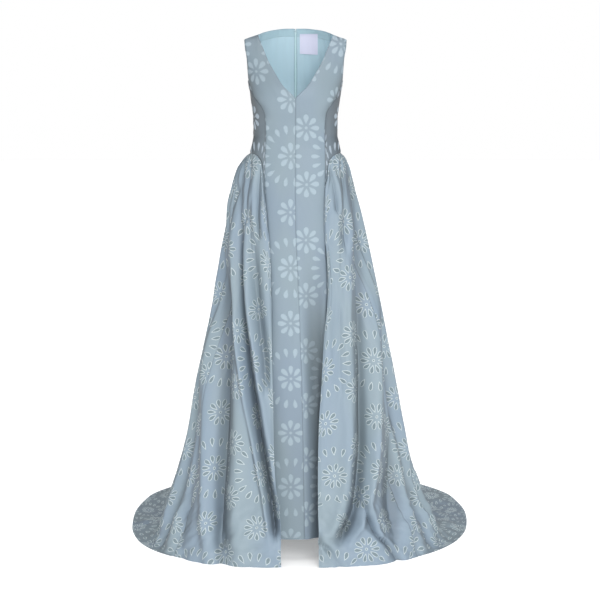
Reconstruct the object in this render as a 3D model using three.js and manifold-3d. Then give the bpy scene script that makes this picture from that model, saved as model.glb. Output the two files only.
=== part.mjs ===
// A sleeveless V-neck gown: a slim column front, and an overskirt pleated into curved hip seams that is
// open at the front and spreads behind as a train. Millimetres, +Z up, +Y to the back, and X = 0 on the
// centre line. The origin is midway between the shoulders, where the wearer carries the gown.
// Every cloth piece is a wall: a grid of points on the garment's outer surface, and the same moved in.

import * as THREE from "three";
import Module from "manifold-3d";
import { mergeVertices } from "three/addons/utils/BufferGeometryUtils.js";

// ---------------------------------------------------------------- driving dimensions

const CLOTH = 2; // wall of the outer cloth
const LINING = 1; // wall of the lining, facing, label and zip tape
const SEAM = 0.3; // gap between neighbours at a seam
const ZIP_GAP = 1.6; // gap between the back edges, where the zip shows
const NECK_POINT = 117; // centre line to the inner end of the shoulder seam
const SHOULDER_POINT = 160; // centre line to the outer end of the shoulder seam
const SHOULDER_DROP = 15; // fall of the shoulder seam from the neck to the arm
const BACK_NECK = 22; // height of the back neck at the centre
const BACK_RISE = 75; // height at which the back surface would close over the centre line
const V_POINT = -198; // bottom of the V neck
const UNDERARM = -160;
const PRINCESS_TOP = -138; // where the princess seam leaves the front armhole
const SIDE_BACK_TOP = -104; // where the side-back seam leaves the back armhole
const HIP_FRONT = -446; // lowest point of the hip seam, at the front
const HIP_SIDE = -366; // hip seam at the side
const HIP_BACK = -350; // hip seam at the centre back
const COLUMN_HEM = -1578;
const FLOOR = -1650;
const ROUNDNESS = 2.4; // power of the superellipse of each section: 2 is an ellipse
const SIDE_TURN = 90; // degrees from the centre front round to the side seam
const BACK_TURN = 180;
const SIDE_BACK_X = 88; // centre line to the side-back seam below the armhole
const COLUMN_TUCK = 3.6; // how far the hidden column lies inside the bodice's outer face at the hip
const TRAIN_DRIFT = 15; // how far the train lies off to the right of the centre line
const DRIFT_START = -1300;
const FLOOR_BEND = 110; // length over which the skirt turns from falling to lying on the floor
const TAPE_WIDTH = 11;
const LINING_FROM_ZIP = 3.4; // centre line to the lining's edge beside the zip
const LABEL = { width: 58, height: 62, from_zip: 14, below_neck: 14, sag: 3 };

// Half-width of the section at each height.
const WIDTHS = [
  { z: 30, side: 206 },
  { z: 0, side: 200 },
  { z: -50, side: 182 },
  { z: -80, side: 172 },
  { z: -120, side: 160 },
  { z: -150, side: 149 },
  { z: -160, side: 146.5 },
  { z: -208, side: 138.5 },
  { z: -259, side: 132 },
  { z: -310, side: 132 },
  { z: -336, side: 136.5 },
  { z: -366, side: 143 },
  { z: -446, side: 151 },
  { z: -600, side: 158 },
  { z: -900, side: 160 },
  { z: -1250, side: 166 },
  { z: -1578, side: 174 },
];

// Depth of the front and the back from the middle plane, by how far a point lies below the shoulder line.
const DEPTHS = [
  { drop: 0, front: 0, back: 0 },
  { drop: 5, front: 14, back: 16 },
  { drop: 15, front: 26, back: 29 },
  { drop: 30, front: 40, back: 42 },
  { drop: 50, front: 57, back: 57 },
  { drop: 75, front: 74, back: 70 },
  { drop: 100, front: 89, back: 82 },
  { drop: 130, front: 103, back: 93 },
  { drop: 160, front: 114, back: 100 },
  { drop: 195, front: 121, back: 101 },
  { drop: 235, front: 113, back: 95 },
  { drop: 285, front: 98, back: 88 },
  { drop: 340, front: 98, back: 96 },
  { drop: 400, front: 104, back: 108 },
  { drop: 446, front: 107, back: 114 },
  { drop: 600, front: 110, back: 122 },
  { drop: 900, front: 115, back: 116 },
  { drop: 1250, front: 118, back: 120 },
  { drop: 1578, front: 121, back: 128 },
].map((row) => ({ ...row, root: Math.sqrt(row.drop) }));

// Edge of the V neck: half its opening at each height.
const V_NECK = [
  { z: 0, x: 117 },
  { z: -40, x: 101 },
  { z: -84, x: 83 },
  { z: -125, x: 60 },
  { z: -160, x: 38 },
  { z: -186, x: 12 },
  { z: -198, x: 0 },
];

// Edge of both armholes, seen from the front.
const ARMHOLE = [
  { z: -15, x: 160 },
  { z: -60, x: 154 },
  { z: -80, x: 151.5 },
  { z: -120, x: 149 },
  { z: -150, x: 147 },
  { z: -160, x: 146.5 },
];

// Princess seam from the armhole to the column hem, on each side.
const PRINCESS = [
  { z: -138, left: 147.8, right: 147.8 },
  { z: -190, left: 130, right: 131 },
  { z: -228, left: 104, right: 105 },
  { z: -252, left: 95, right: 95 },
  { z: -301, left: 92, right: 92 },
  { z: -340, left: 93, right: 92 },
  { z: -446, left: 96, right: 94 },
  { z: -600, left: 86, right: 97 },
  { z: -820, left: 77, right: 98 },
  { z: -1260, left: 74, right: 94 },
  { z: -1437, left: 62, right: 90 },
  { z: -1578, left: 48, right: 88 },
];

// Centre-front seam: it leans a little to the right below the hip.
const CENTRE_FRONT = [
  { z: 0, x: 0 },
  { z: -545, x: 0 },
  { z: -830, x: 11 },
  { z: -1100, x: 20 },
  { z: -1578, x: 29 },
];

// Curved hip seam from the princess seam (across = 0) to the side seam (across = 1).
const HIP_SEAM = [
  { across: 0, z: HIP_FRONT },
  { across: 0.08, z: -420 },
  { across: 0.22, z: -400 },
  { across: 0.45, z: -384 },
  { across: 0.75, z: -372 },
  { across: 1, z: HIP_SIDE },
];

// Overskirt, one row for each station round it, from its front edge (round = 0) to the centre back (1):
// the turn at which it leaves the hip seam, where it reaches the floor, and where its hem lies.
const STATIONS = [
  { round: 0, turn: 36, floor_x: 58, floor_y: -190, hem_x: 58, hem_y: -190 },
  { round: 0.08, turn: 55, floor_x: 165, floor_y: -177, hem_x: 165, hem_y: -177 },
  { round: 0.17, turn: 78, floor_x: 272, floor_y: -149, hem_x: 272, hem_y: -149 },
  { round: 0.28, turn: 96, floor_x: 392, floor_y: -62, hem_x: 394, hem_y: -61 },
  { round: 0.38, turn: 108, floor_x: 452, floor_y: 28, hem_x: 475, hem_y: 28 },
  { round: 0.48, turn: 119, floor_x: 474, floor_y: 118, hem_x: 534, hem_y: 140 },
  { round: 0.58, turn: 130, floor_x: 462, floor_y: 215, hem_x: 574, hem_y: 300 },
  { round: 0.68, turn: 141, floor_x: 415, floor_y: 310, hem_x: 588, hem_y: 500 },
  { round: 0.78, turn: 152, floor_x: 322, floor_y: 392, hem_x: 562, hem_y: 725 },
  { round: 0.86, turn: 162, floor_x: 220, floor_y: 440, hem_x: 462, hem_y: 920 },
  { round: 0.93, turn: 171, floor_x: 112, floor_y: 466, hem_x: 262, hem_y: 1085 },
  { round: 1, turn: 180, floor_x: 0, floor_y: 475, hem_x: 0, hem_y: 1150 },
];

// How much of its way out the overskirt has gone at each share of its fall.
const FLARE = [
  { fall: 0, out: 0 },
  { fall: 0.02, out: 0.072 },
  { fall: 0.06, out: 0.138 },
  { fall: 0.12, out: 0.188 },
  { fall: 0.24, out: 0.264 },
  { fall: 0.38, out: 0.364 },
  { fall: 0.58, out: 0.515 },
  { fall: 0.68, out: 0.59 },
  { fall: 0.775, out: 0.675 },
  { fall: 0.835, out: 0.745 },
  { fall: 0.92, out: 0.87 },
  { fall: 1, out: 1 },
];

// Front edges of the overskirt, seen from the front.
const FRONT_EDGE = [
  { z: -446, left: 101, right: 98 },
  { z: -475, left: 98, right: 90 },
  { z: -558, left: 90, right: 91 },
  { z: -655, left: 80, right: 96 },
  { z: -774, left: 76, right: 105 },
  { z: -932, left: 73, right: 91 },
  { z: -1107, left: 71, right: 81 },
  { z: -1222, left: 69, right: 74 },
  { z: -1400, left: 60, right: 71 },
  { z: -1500, left: 48, right: 72 },
  { z: -1650, left: 45, right: 74 },
];
const EDGE_REACH = 0.13; // share of the way round over which the front edge's own line fades out

// Large folds in the front of the overskirt, as valleys seen from the front: x is measured from the centre
// line, width is half the valley's, and depth is how far it goes in at its middle.
const FRONT_FOLDS = {
  left: [
    {
      depth: 30,
      width: 26,
      line: [
        { z: -560, x: 207 },
        { z: -630, x: 219 },
        { z: -880, x: 225 },
        { z: -1083, x: 231 },
        { z: -1297, x: 237 },
        { z: -1535, x: 243 },
        { z: -1650, x: 236 },
      ],
    },
    {
      depth: 20,
      width: 20,
      line: [
        { z: -420, x: 150 },
        { z: -490, x: 173 },
        { z: -816, x: 168 },
        { z: -977, x: 152 },
        { z: -1160, x: 127 },
        { z: -1331, x: 98 },
        { z: -1463, x: 78 },
      ],
    },
    {
      depth: 13,
      width: 15,
      line: [
        { z: -470, x: 118 },
        { z: -558, x: 141 },
        { z: -925, x: 108 },
        { z: -1023, x: 96 },
        { z: -1150, x: 90 },
      ],
    },
    {
      depth: 16,
      width: 30,
      line: [
        { z: -900, x: 330 },
        { z: -1250, x: 345 },
        { z: -1650, x: 360 },
      ],
    },
  ],
  right: [
    {
      depth: 9,
      width: 9,
      line: [
        { z: -415, x: 112 },
        { z: -440, x: 114 },
        { z: -480, x: 120 },
        { z: -540, x: 128 },
      ],
    },
    {
      depth: 14,
      width: 14,
      line: [
        { z: -800, x: 133 },
        { z: -905, x: 133 },
        { z: -1031, x: 134 },
        { z: -1150, x: 146 },
      ],
    },
    {
      depth: 16,
      width: 13,
      line: [
        { z: -384, x: 126 },
        { z: -426, x: 145 },
        { z: -497, x: 153 },
        { z: -613, x: 153 },
        { z: -700, x: 150 },
      ],
    },
    {
      depth: 28,
      width: 22,
      line: [
        { z: -386, x: 138 },
        { z: -430, x: 163 },
        { z: -480, x: 182 },
        { z: -615, x: 202 },
        { z: -800, x: 209 },
        { z: -1093, x: 214 },
        { z: -1241, x: 215 },
        { z: -1369, x: 206 },
        { z: -1471, x: 189 },
        { z: -1615, x: 118 },
      ],
    },
    {
      depth: 15,
      width: 28,
      line: [
        { z: -620, x: 236 },
        { z: -820, x: 268 },
        { z: -1200, x: 300 },
        { z: -1650, x: 322 },
      ],
    },
  ],
};

// Folds in the sides and back, by their place round the overskirt at the hip and at the floor.
const BACK_FOLDS = [
  { at_hip: 0.4, at_floor: 0.37, depth: 20, width: 0.028, start: -420 },
  { at_hip: 0.5, at_floor: 0.46, depth: 28, width: 0.027, start: -380 },
  { at_hip: 0.585, at_floor: 0.56, depth: 26, width: 0.026, start: -380 },
  { at_hip: 0.68, at_floor: 0.655, depth: 30, width: 0.027, start: -370 },
  { at_hip: 0.765, at_floor: 0.75, depth: 26, width: 0.026, start: -370 },
  { at_hip: 0.85, at_floor: 0.84, depth: 30, width: 0.027, start: -360 },
  { at_hip: 0.93, at_floor: 0.925, depth: 26, width: 0.025, start: -360 },
];
// How far the overskirt stands out further at its sides, by height.
const SWELL = [
  { z: -366, left: 7, right: 0 },
  { z: -458, left: 8, right: 0 },
  { z: -615, left: 8, right: 4.5 },
  { z: -770, left: 8, right: 9 },
  { z: -850, left: 5.5, right: 10 },
  { z: -1100, left: 3, right: 10 },
  { z: -1240, left: 1.5, right: 9 },
  { z: -1340, left: 1.5, right: 3 },
  { z: -1430, left: 1.5, right: -12 },
  { z: -1480, left: 1, right: -14 },
  { z: -1560, left: 0, right: 0 },
];
const GATHERED = 0.3; // share of a fold's depth that is left at the hip, where the cloth is gathered
const FOLD_LIP = 0.45; // height of the ridge on each side of a valley, as a share of its depth
const FOLD_EASE = 90; // length over which a fold starts and ends
const RIPPLE = 11; // height of the train's waves on the floor
const RIPPLE_LENGTH = 170;

// ---------------------------------------------------------------- tables

// The value of a column where the key column reaches at: a smooth curve that never overshoots its rows.
function along(table, key, column, at) {
  const rising = table[1][key] > table[0][key];
  const x = table.map((row) => (rising ? row[key] : -row[key]));
  const y = table.map((row) => row[column]);
  const last = x.length - 1;
  const t = rising ? at : -at;
  if (t <= x[0]) return y[0];
  if (t >= x[last]) return y[last];
  const step = (i) => (y[i + 1] - y[i]) / (x[i + 1] - x[i]);
  const slope = (i) => {
    if (i === 0) return step(0);
    if (i === last) return step(last - 1);
    const [a, b] = [step(i - 1), step(i)];
    return a * b <= 0 ? 0 : (2 * a * b) / (a + b);
  };
  const i = x.findIndex((value) => value > t) - 1;
  const span = x[i + 1] - x[i];
  const s = (t - x[i]) / span;
  const near = (1 + 2 * s) * (1 - s) ** 2 * y[i] + s * (1 - s) ** 2 * span * slope(i);
  const far = s * s * (3 - 2 * s) * y[i + 1] + s * s * (s - 1) * span * slope(i + 1);
  return near + far;
}

const mix = (a, b, share) => a + (b - a) * share;
const clamp = (value) => Math.min(Math.max(value, 0), 1);
const ease = (value) => clamp(value) ** 2 * (3 - 2 * clamp(value));
const radians = (degrees) => (degrees * Math.PI) / 180;

// ---------------------------------------------------------------- the bodice and column surface

const halfWidth = (z) => along(WIDTHS, "z", "side", z);

// The turn at which a section reaches x, on its front half.
function turnAt(x, z) {
  return (Math.asin(Math.min(1, (x / halfWidth(z)) ** (ROUNDNESS / 2))) * 180) / Math.PI;
}

// Height of the shoulder line over a point: the surface closes there.
function ridge(x, back) {
  if (x >= NECK_POINT) return (-SHOULDER_DROP * (x - NECK_POINT)) / (SHOULDER_POINT - NECK_POINT);
  return back ? BACK_RISE * (1 - (x / NECK_POINT) ** 2) : 0;
}

// The outer surface: turn runs from 0 at the centre front to 180 at the centre back.
function bodyPoint(side, turn, z) {
  const sine = Math.abs(Math.sin(radians(turn)));
  const cosine = Math.cos(radians(turn));
  const x = halfWidth(z) * sine ** (2 / ROUNDNESS);
  const back = cosine < 0;
  const drop = Math.max(0, ridge(x, back) * clamp((z - UNDERARM) / -UNDERARM) - z);
  const depth = along(DEPTHS, "root", back ? "back" : "front", Math.sqrt(drop));
  const reach = Math.abs(cosine) ** (2 / ROUNDNESS);
  return new THREE.Vector3(side * x, (back ? 1 : -1) * depth * reach, z);
}

// A point on the surface and its outward normal, from two short steps along the surface.
function withNormal(surface, a, b, stepA, stepB, outward) {
  const p = surface(a, b);
  const da = surface(a + stepA, b).sub(surface(a - stepA, b));
  const db = surface(a, b + stepB).sub(surface(a, b - stepB));
  const n = da.cross(db).normalize();
  return { p, n: n.dot(outward(p)) < 0 ? n.negate() : n };
}

const fromAxis = (p) => new THREE.Vector3(p.x, p.y, p.z > UNDERARM ? 60 : 0);

function onBody(side, turn, z) {
  return withNormal((a, b) => bodyPoint(side, a, b), turn, z, 0.2, 0.4, fromAxis);
}

const sideName = (side) => (side < 0 ? "left" : "right");
const hipBackZ = (turn) => mix(HIP_SIDE, HIP_BACK, ease((turn - SIDE_TURN) / (BACK_TURN - SIDE_TURN)));
const princessTurn = (side, z) => turnAt(along(PRINCESS, "z", sideName(side), z), z);

// Height of the hip seam at a turn.
function hipSeam(side, turn) {
  if (turn >= SIDE_TURN) return hipBackZ(turn);
  const front = princessTurn(side, HIP_FRONT);
  return along(HIP_SEAM, "across", "z", (turn - front) / (SIDE_TURN - front));
}

// ---------------------------------------------------------------- the overskirt surface

const station = (round, column) => along(STATIONS, "round", column, round);

// The overskirt before its folds: down is the share of the way from the hip seam to the hem.
function skirtBase(side, round, down) {
  const turn = station(round, "turn");
  const top = bodyPoint(side, turn, hipSeam(side, turn));
  const foot = new THREE.Vector3(side * station(round, "floor_x"), station(round, "floor_y"), FLOOR);
  const hem = new THREE.Vector3(side * station(round, "hem_x"), station(round, "hem_y"), FLOOR);
  const fallLength = top.distanceTo(foot);
  const runLength = foot.distanceTo(hem);
  const bend = Math.min(FLOOR_BEND, runLength * 0.8);
  const falling = (length) => {
    const fall = clamp(length / fallLength);
    const out = along(FLARE, "fall", "out", fall);
    const p = new THREE.Vector3(mix(top.x, foot.x, out), mix(top.y, foot.y, out), mix(top.z, FLOOR, fall));
    const edge = along(FRONT_EDGE, "z", sideName(side), p.z);
    p.x += side * (edge - Math.abs(skirtEdgeX(side, fall))) * clamp(1 - round / EDGE_REACH) ** 2;
    return p;
  };
  const lying = (length) => foot.clone().lerp(hem, runLength ? clamp(length / runLength) : 0);
  const length = clamp(down) * (fallLength + runLength) + Math.min(0, down) * fallLength;
  let p;
  if (length <= fallLength - bend) p = falling(length);
  else if (length >= fallLength + bend) p = lying(length - fallLength);
  else {
    const share = (length - fallLength + bend) / (2 * bend);
    const a = falling(fallLength - bend);
    const b = lying(bend);
    p = a.multiplyScalar((1 - share) ** 2);
    p.addScaledVector(foot, 2 * share * (1 - share)).addScaledVector(b, share ** 2);
  }
  p.x += TRAIN_DRIFT * ease((round - 0.3) / 0.4) * ease((DRIFT_START - p.z) / 350);
  p.z = Math.max(p.z, FLOOR);
  return p;
}

// Where the front edge would run without its own line.
function skirtEdgeX(side, fall) {
  const turn = STATIONS[0].turn;
  const top = bodyPoint(side, turn, hipSeam(side, turn));
  return mix(top.x, side * STATIONS[0].floor_x, along(FLARE, "fall", "out", fall));
}

// A valley with a ridge on each side, at a distance given in its half-widths.
function valley(distance) {
  const lip = Math.exp(-((Math.abs(distance) - 1.9) ** 2) * 1.6);
  return FOLD_LIP * lip - Math.exp(-(distance ** 2) * 1.3);
}

// How far the folds move a point of the overskirt out (or in, below zero).
function foldMove(side, round, p) {
  let move = 0;
  for (const fold of FRONT_FOLDS[sideName(side)]) {
    if (round > 0.42) break;
    const first = fold.line[0].z;
    const last = fold.line[fold.line.length - 1].z;
    const onset = ease((first - p.z) / FOLD_EASE);
    const ending = last <= FLOOR ? 1 : ease((p.z - last) / FOLD_EASE);
    const x = along(fold.line, "z", "x", p.z);
    move += fold.depth * onset * ending * valley((Math.abs(p.x) - x) / fold.width);
  }
  move *= ease((0.44 - round) / 0.08) * mix(0.25, 1, ease((HIP_FRONT - p.z) / 450));
  for (const fold of BACK_FOLDS) {
    const fall = clamp((fold.start - p.z) / (fold.start - FLOOR));
    const at = mix(fold.at_hip, fold.at_floor, fall);
    const onset = ease((fold.start - p.z) / 260);
    move += fold.depth * mix(GATHERED, 1, fall) * onset * valley((round - at) / fold.width);
  }
  const beside = ease((round - 0.12) / 0.14) * ease((0.56 - round) / 0.14);
  return move + along(SWELL, "z", sideName(side), p.z) * beside;
}

// The overskirt with its folds. Where it lies on the floor its folds are low waves that rise from it.
function skirtPoint(side, round, down) {
  const base = withNormal((a, b) => skirtBase(side, a, b), round, down, 0.004, 0.004, fromFoot);
  const { p, n } = base;
  const lying = ease((n.z - 0.35) / 0.5) * ease((FLOOR + 300 - p.z) / 100);
  const nearHip = ease((hipSeam(side, station(round, "turn")) - p.z) / 60);
  const wave = 0.5 + 0.5 * Math.sin((p.length() * 2 * Math.PI) / RIPPLE_LENGTH + 9 * round);
  const hemEase = ease((1 - down) / 0.06);
  const fold = foldMove(side, round, p) * (1 - lying) * nearHip;
  p.addScaledVector(n, fold);
  p.z += RIPPLE * wave * lying * hemEase;
  return p;
}

const fromFoot = (p) => new THREE.Vector3(p.x, p.y + 40, 400);

function onSkirt(side, round, down) {
  return withNormal((a, b) => skirtPoint(side, a, b), round, down, 0.003, 0.003, fromFoot);
}

// ---------------------------------------------------------------- cloth walls

// A closed wall from a grid of surface points: outer and inner are how far each face lies inside the
// surface. Edges that are sewn are pulled in along the surface by half a seam. Each cell of the grid is
// split along the same diagonal on both faces, so that they never cross, and the wall is lifted to stand
// on the floor with its whole thickness.
function clothWall(grid, outer, inner, trims = {}) {
  const rows = grid.length;
  const columns = grid[0].length;
  trimEdges(grid, trims);
  const moved = ({ p, n }, depth) => p.clone().addScaledVector(n, -depth);
  const face = (depth) =>
    grid.flat().map((cell) => {
      const point = moved(cell, depth);
      point.z += Math.max(0, FLOOR - moved(cell, inner).z);
      return point;
    });
  const points = [...face(outer), ...face(inner)];
  const at = (layer, row, column) => layer * rows * columns + row * columns + column;
  const index = [];
  const quad = (a, b, c, d) => index.push(a, b, c, a, c, d);
  for (let row = 0; row < rows - 1; row++)
    for (let column = 0; column < columns - 1; column++) {
      const corners = [[row, column], [row, column + 1], [row + 1, column + 1], [row + 1, column]];
      const outside = corners.map((corner) => at(0, ...corner));
      const one = points[outside[0]].distanceTo(points[outside[2]]);
      const other = points[outside[1]].distanceTo(points[outside[3]]);
      const turned = one <= other ? corners : [...corners.slice(1), corners[0]];
      const [a, b, c, d] = turned.map((corner) => at(0, ...corner));
      quad(a, b, c, d);
      const [e, f, g, h] = turned.map((corner) => at(1, ...corner));
      index.push(e, g, f, e, h, g);
    }
  for (let column = 0; column < columns - 1; column++) {
    quad(at(0, 0, column), at(1, 0, column), at(1, 0, column + 1), at(0, 0, column + 1));
    const end = rows - 1;
    quad(at(0, end, column), at(0, end, column + 1), at(1, end, column + 1), at(1, end, column));
  }
  for (let row = 0; row < rows - 1; row++) {
    quad(at(0, row, 0), at(0, row + 1, 0), at(1, row + 1, 0), at(1, row, 0));
    const end = columns - 1;
    quad(at(0, row, end), at(1, row, end), at(1, row + 1, end), at(0, row + 1, end));
  }
  const geometry = new THREE.BufferGeometry();
  geometry.setAttribute("position", new THREE.Float32BufferAttribute(points.flatMap((v) => v.toArray()), 3));
  geometry.setIndex(signedVolume(points, index) < 0 ? index.reverse() : index);
  return geometry;
}

function signedVolume(points, index) {
  let sum = 0;
  const cross = new THREE.Vector3();
  for (let i = 0; i < index.length; i += 3) {
    cross.crossVectors(points[index[i + 1]], points[index[i + 2]]);
    sum += points[index[i]].dot(cross);
  }
  return sum / 6;
}

// Moves the outer rows and columns of a grid towards their neighbours by the trims given for them.
function trimEdges(grid, { top = 0, bottom = 0, start = 0, end = 0 }) {
  const pull = (cell, neighbour, amount) => {
    if (!amount) return;
    const way = neighbour.p.clone().sub(cell.p).normalize();
    cell.p.addScaledVector(way, amount);
  };
  const last = grid.length - 1;
  const wide = grid[0].length - 1;
  for (const row of grid) {
    pull(row[0], row[1], start);
    pull(row[wide], row[wide - 1], end);
  }
  for (let column = 0; column <= wide; column++) {
    pull(grid[0][column], grid[1][column], top);
    pull(grid[last][column], grid[last - 1][column], bottom);
  }
}

// A grid of cells: cell(across, down) for shares from 0 to 1.
function gridOf(acrossList, downList, cell) {
  return downList.map((down) => acrossList.map((across) => cell(across, down)));
}

const even = (count) => Array.from({ length: count + 1 }, (_, i) => i / count);

// Heights from one end to the other with the given longest step.
function levels(from, to, step) {
  return even(Math.ceil(Math.abs(from - to) / step)).map((share) => mix(from, to, share));
}

// ---------------------------------------------------------------- the pieces

const HALF = SEAM / 2;
const HIP_EASE = 0.9; // the overskirt's own share of the gap at the curved hip seam
const GOWN = new THREE.MeshStandardMaterial({ color: 0xa0b4c4, roughness: 0.45, metalness: 0 });
const AQUA = new THREE.MeshStandardMaterial({ color: 0xa8cad6, roughness: 0.55, metalness: 0 });
const LILAC = new THREE.MeshStandardMaterial({ color: 0xd5d6ec, roughness: 0.6, metalness: 0 });
const TAPE = new THREE.MeshStandardMaterial({ color: 0x9cc0cc, roughness: 0.7, metalness: 0 });
const METAL = new THREE.MeshStandardMaterial({ color: 0xc8ccd0, roughness: 0.3, metalness: 0.9 });

const gown = new THREE.Group();

function add(name, geometry, material, group = gown) {
  const mesh = new THREE.Mesh(geometry, material);
  mesh.name = name;
  group.add(mesh);
  return mesh;
}

// Heights shared by the pieces that meet on the princess seam, so that their edges run together.
const ARMHOLE_LEVELS = levels(-SHOULDER_DROP - 0.01, PRINCESS_TOP - 4, 16);
const BODICE_LEVELS = levels(PRINCESS_TOP - 4, HIP_FRONT + 4, 28);
const COLUMN_LEVELS = levels(HIP_FRONT - 1, COLUMN_HEM, 82);

// Centre front: the shoulder seam, the V neck and armhole, then the centre-front and princess seams.
function frontCentre(side) {
  const heights = [...ARMHOLE_LEVELS, ...BODICE_LEVELS.slice(1), ...COLUMN_LEVELS];
  const grid = heights.map((height) =>
    even(6).map((across) => {
      const rise = SHOULDER_DROP * clamp(1 + (height + SHOULDER_DROP) / 110);
      const z = height + rise * (1 - across);
      const name = sideName(side);
      const outer = z > PRINCESS_TOP ? along(ARMHOLE, "z", "x", z) : along(PRINCESS, "z", name, z);
      if (height > V_POINT) {
        const inner = along(V_NECK, "z", "x", height + rise);
        return onBody(side, turnAt(mix(inner, outer, across), z), z);
      }
      return onFront(side, mix(side * along(CENTRE_FRONT, "z", "x", z), outer, across), z);
    }),
  );
  add("front_centre_" + tag(side), clothWall(grid, 0, CLOTH, { start: HALF, end: HALF }), GOWN);
}

// A point of the front by its distance from the centre line, which may lie past it.
function onFront(side, x, z) {
  const past = x < 0 ? -side : side;
  return onBody(past, turnAt(Math.abs(x), z), z);
}

const tag = (side) => (side < 0 ? "l" : "r");

// Side front: from the princess seam to the side seam, ending in the curved hip seam.
const SIDE_FRONT_ACROSS = [0, 0.08, 0.16, 0.27, 0.4, 0.56, 0.76, 1];

function sideFront(side) {
  const first = BODICE_LEVELS[0];
  const front = princessTurn(side, HIP_FRONT);
  const grid = BODICE_LEVELS.map((level) =>
    SIDE_FRONT_ACROSS.map((across) => {
      const down = (level - first) / (HIP_FRONT + 4 - first);
      const top = mix(first, UNDERARM, ease(across));
      const bottom = across ? hipSeam(side, mix(front, SIDE_TURN, across)) : HIP_FRONT + 4;
      const z = mix(top, bottom, down);
      return onBody(side, mix(princessTurn(side, z), SIDE_TURN, across), z);
    }),
  );
  const trims = { start: HALF, end: HALF, bottom: HALF };
  add("side_front_" + tag(side), clothWall(grid, 0, CLOTH, trims), GOWN);
}

const backTurn = (x, z) => BACK_TURN - turnAt(x, z);

// Distance of the side-back seam from the centre line.
function sideBackX(z) {
  const top = along(ARMHOLE, "z", "x", SIDE_BACK_TOP);
  return mix(top, SIDE_BACK_X, ease((SIDE_BACK_TOP - z) / 110) ** 0.8);
}

// Height of the back neck and shoulder line at a distance from the centre line.
function backTop(x) {
  return x < NECK_POINT ? BACK_NECK * (1 - (x / NECK_POINT) ** 3) : ridge(x, true);
}

// Rows down the back, shared by every piece of it, as shares of the way from its top to the hip seam.
const BACK_ROWS = [0, 0.02, 0.04, 0.06, 0.09, 0.13, 0.18, 0.277, 0.37, 0.46, 0.56, 0.67, 0.78, 0.89, 1];
const SIDE_BACK_ROW = 7; // the row where the side-back seam begins
const BACK_ACROSS = [0, 0.14, 0.3, 0.46, 0.6, 0.72, 0.86, 1];

// A point of the back panel: across from the zip to the armhole and side-back seam.
function backCell(side, across, down) {
  const top = backTop(SHOULDER_POINT * across) - 0.01;
  const z = mix(top, hipBackZ(backTurn(SIDE_BACK_X * across, HIP_BACK)), down);
  const outer = down < BACK_ROWS[SIDE_BACK_ROW] ? along(ARMHOLE, "z", "x", z) : sideBackX(z);
  const x = mix(SHOULDER_POINT, outer, ease(down / 0.2)) * across;
  return onBody(side, backTurn(x, z), z);
}

// Back: from the zip to the armhole and the side-back seam, with the neck and shoulder on top.
function backPanel(side) {
  const grid = gridOf(BACK_ACROSS, BACK_ROWS, (across, down) => backCell(side, across, down));
  const trims = { start: ZIP_GAP / 2, end: HALF, bottom: HALF };
  add("back_" + tag(side), clothWall(grid, 0, CLOTH, trims), GOWN);
}

// Side back: from the side-back seam to the side seam.
function sideBack(side) {
  const rows = BACK_ROWS.slice(SIDE_BACK_ROW);
  const grid = gridOf(even(6), rows, (across, down) => {
    const seam = backCell(side, 1, down);
    const share = (down - rows[0]) / (1 - rows[0]);
    const hipTurn = mix(backTurn(SIDE_BACK_X, HIP_BACK), SIDE_TURN, across);
    const curve = Math.sqrt(across) * 0.35 + across * 0.65;
    const lower = mix(mix(seam.p.z, UNDERARM, curve), hipBackZ(hipTurn), share);
    const z = across ? lower : seam.p.z;
    return onBody(side, mix(backTurn(sideBackX(z), z), SIDE_TURN, across), z);
  });
  const trims = { start: HALF, end: HALF, bottom: HALF };
  add("side_back_" + tag(side), clothWall(grid, 0, CLOTH, trims), GOWN);
}

// Hidden panels of the column: they start inside the hip seam and come out to the column's own face.
const tuck = (z) => COLUMN_TUCK * (1 - ease((HIP_FRONT - z) / 200));

function tucked(cell) {
  const shift = tuck(cell.p.z);
  cell.p.addScaledVector(cell.n, -shift);
  return cell;
}

// Share of the column's fall at each of its levels.
const COLUMN_ROWS = COLUMN_LEVELS.map((z) => (z - COLUMN_LEVELS[0]) / (COLUMN_HEM - COLUMN_LEVELS[0]));

// The column from the princess seam to the side seam, in three strips.
const COLUMN_STRIPS = [
  { name: "column_side_front_", from: 0, to: 0.28 },
  { name: "column_side_", from: 0.28, to: 0.64 },
  { name: "column_side_rear_", from: 0.64, to: 1 },
];

function columnSide(side) {
  for (const strip of COLUMN_STRIPS) {
    const grid = gridOf(even(2), COLUMN_ROWS, (share, down) => {
      const across = mix(strip.from, strip.to, share);
      const hipTurn = mix(princessTurn(side, HIP_FRONT), SIDE_TURN, across);
      const top = across ? hipSeam(side, hipTurn) - 1 : COLUMN_LEVELS[0];
      const z = mix(top, COLUMN_HEM, down);
      return tucked(onBody(side, mix(princessTurn(side, z), SIDE_TURN, across), z));
    });
    add(strip.name + tag(side), clothWall(grid, 0, CLOTH, { start: HALF, end: HALF }), GOWN);
  }
}

function columnBack(side) {
  const grid = gridOf(even(6), COLUMN_ROWS, (across, down) => {
    const turn = mix(SIDE_TURN, BACK_TURN, across);
    return tucked(onBody(side, turn, mix(hipSeam(side, turn) - 1, COLUMN_HEM, down)));
  });
  add("column_back_" + tag(side), clothWall(grid, 0, CLOTH, { start: HALF, end: HALF }), GOWN);
}

// The overskirt's gores, each between two places round it.
const GORES = [
  { name: "front", from: 0, to: 0.28, columns: 15 },
  { name: "side", from: 0.28, to: 0.62, columns: 15 },
  { name: "back", from: 0.62, to: 1, columns: 15 },
];
const SKIRT_ROWS = even(23).map((share) => share ** 1.25);

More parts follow.
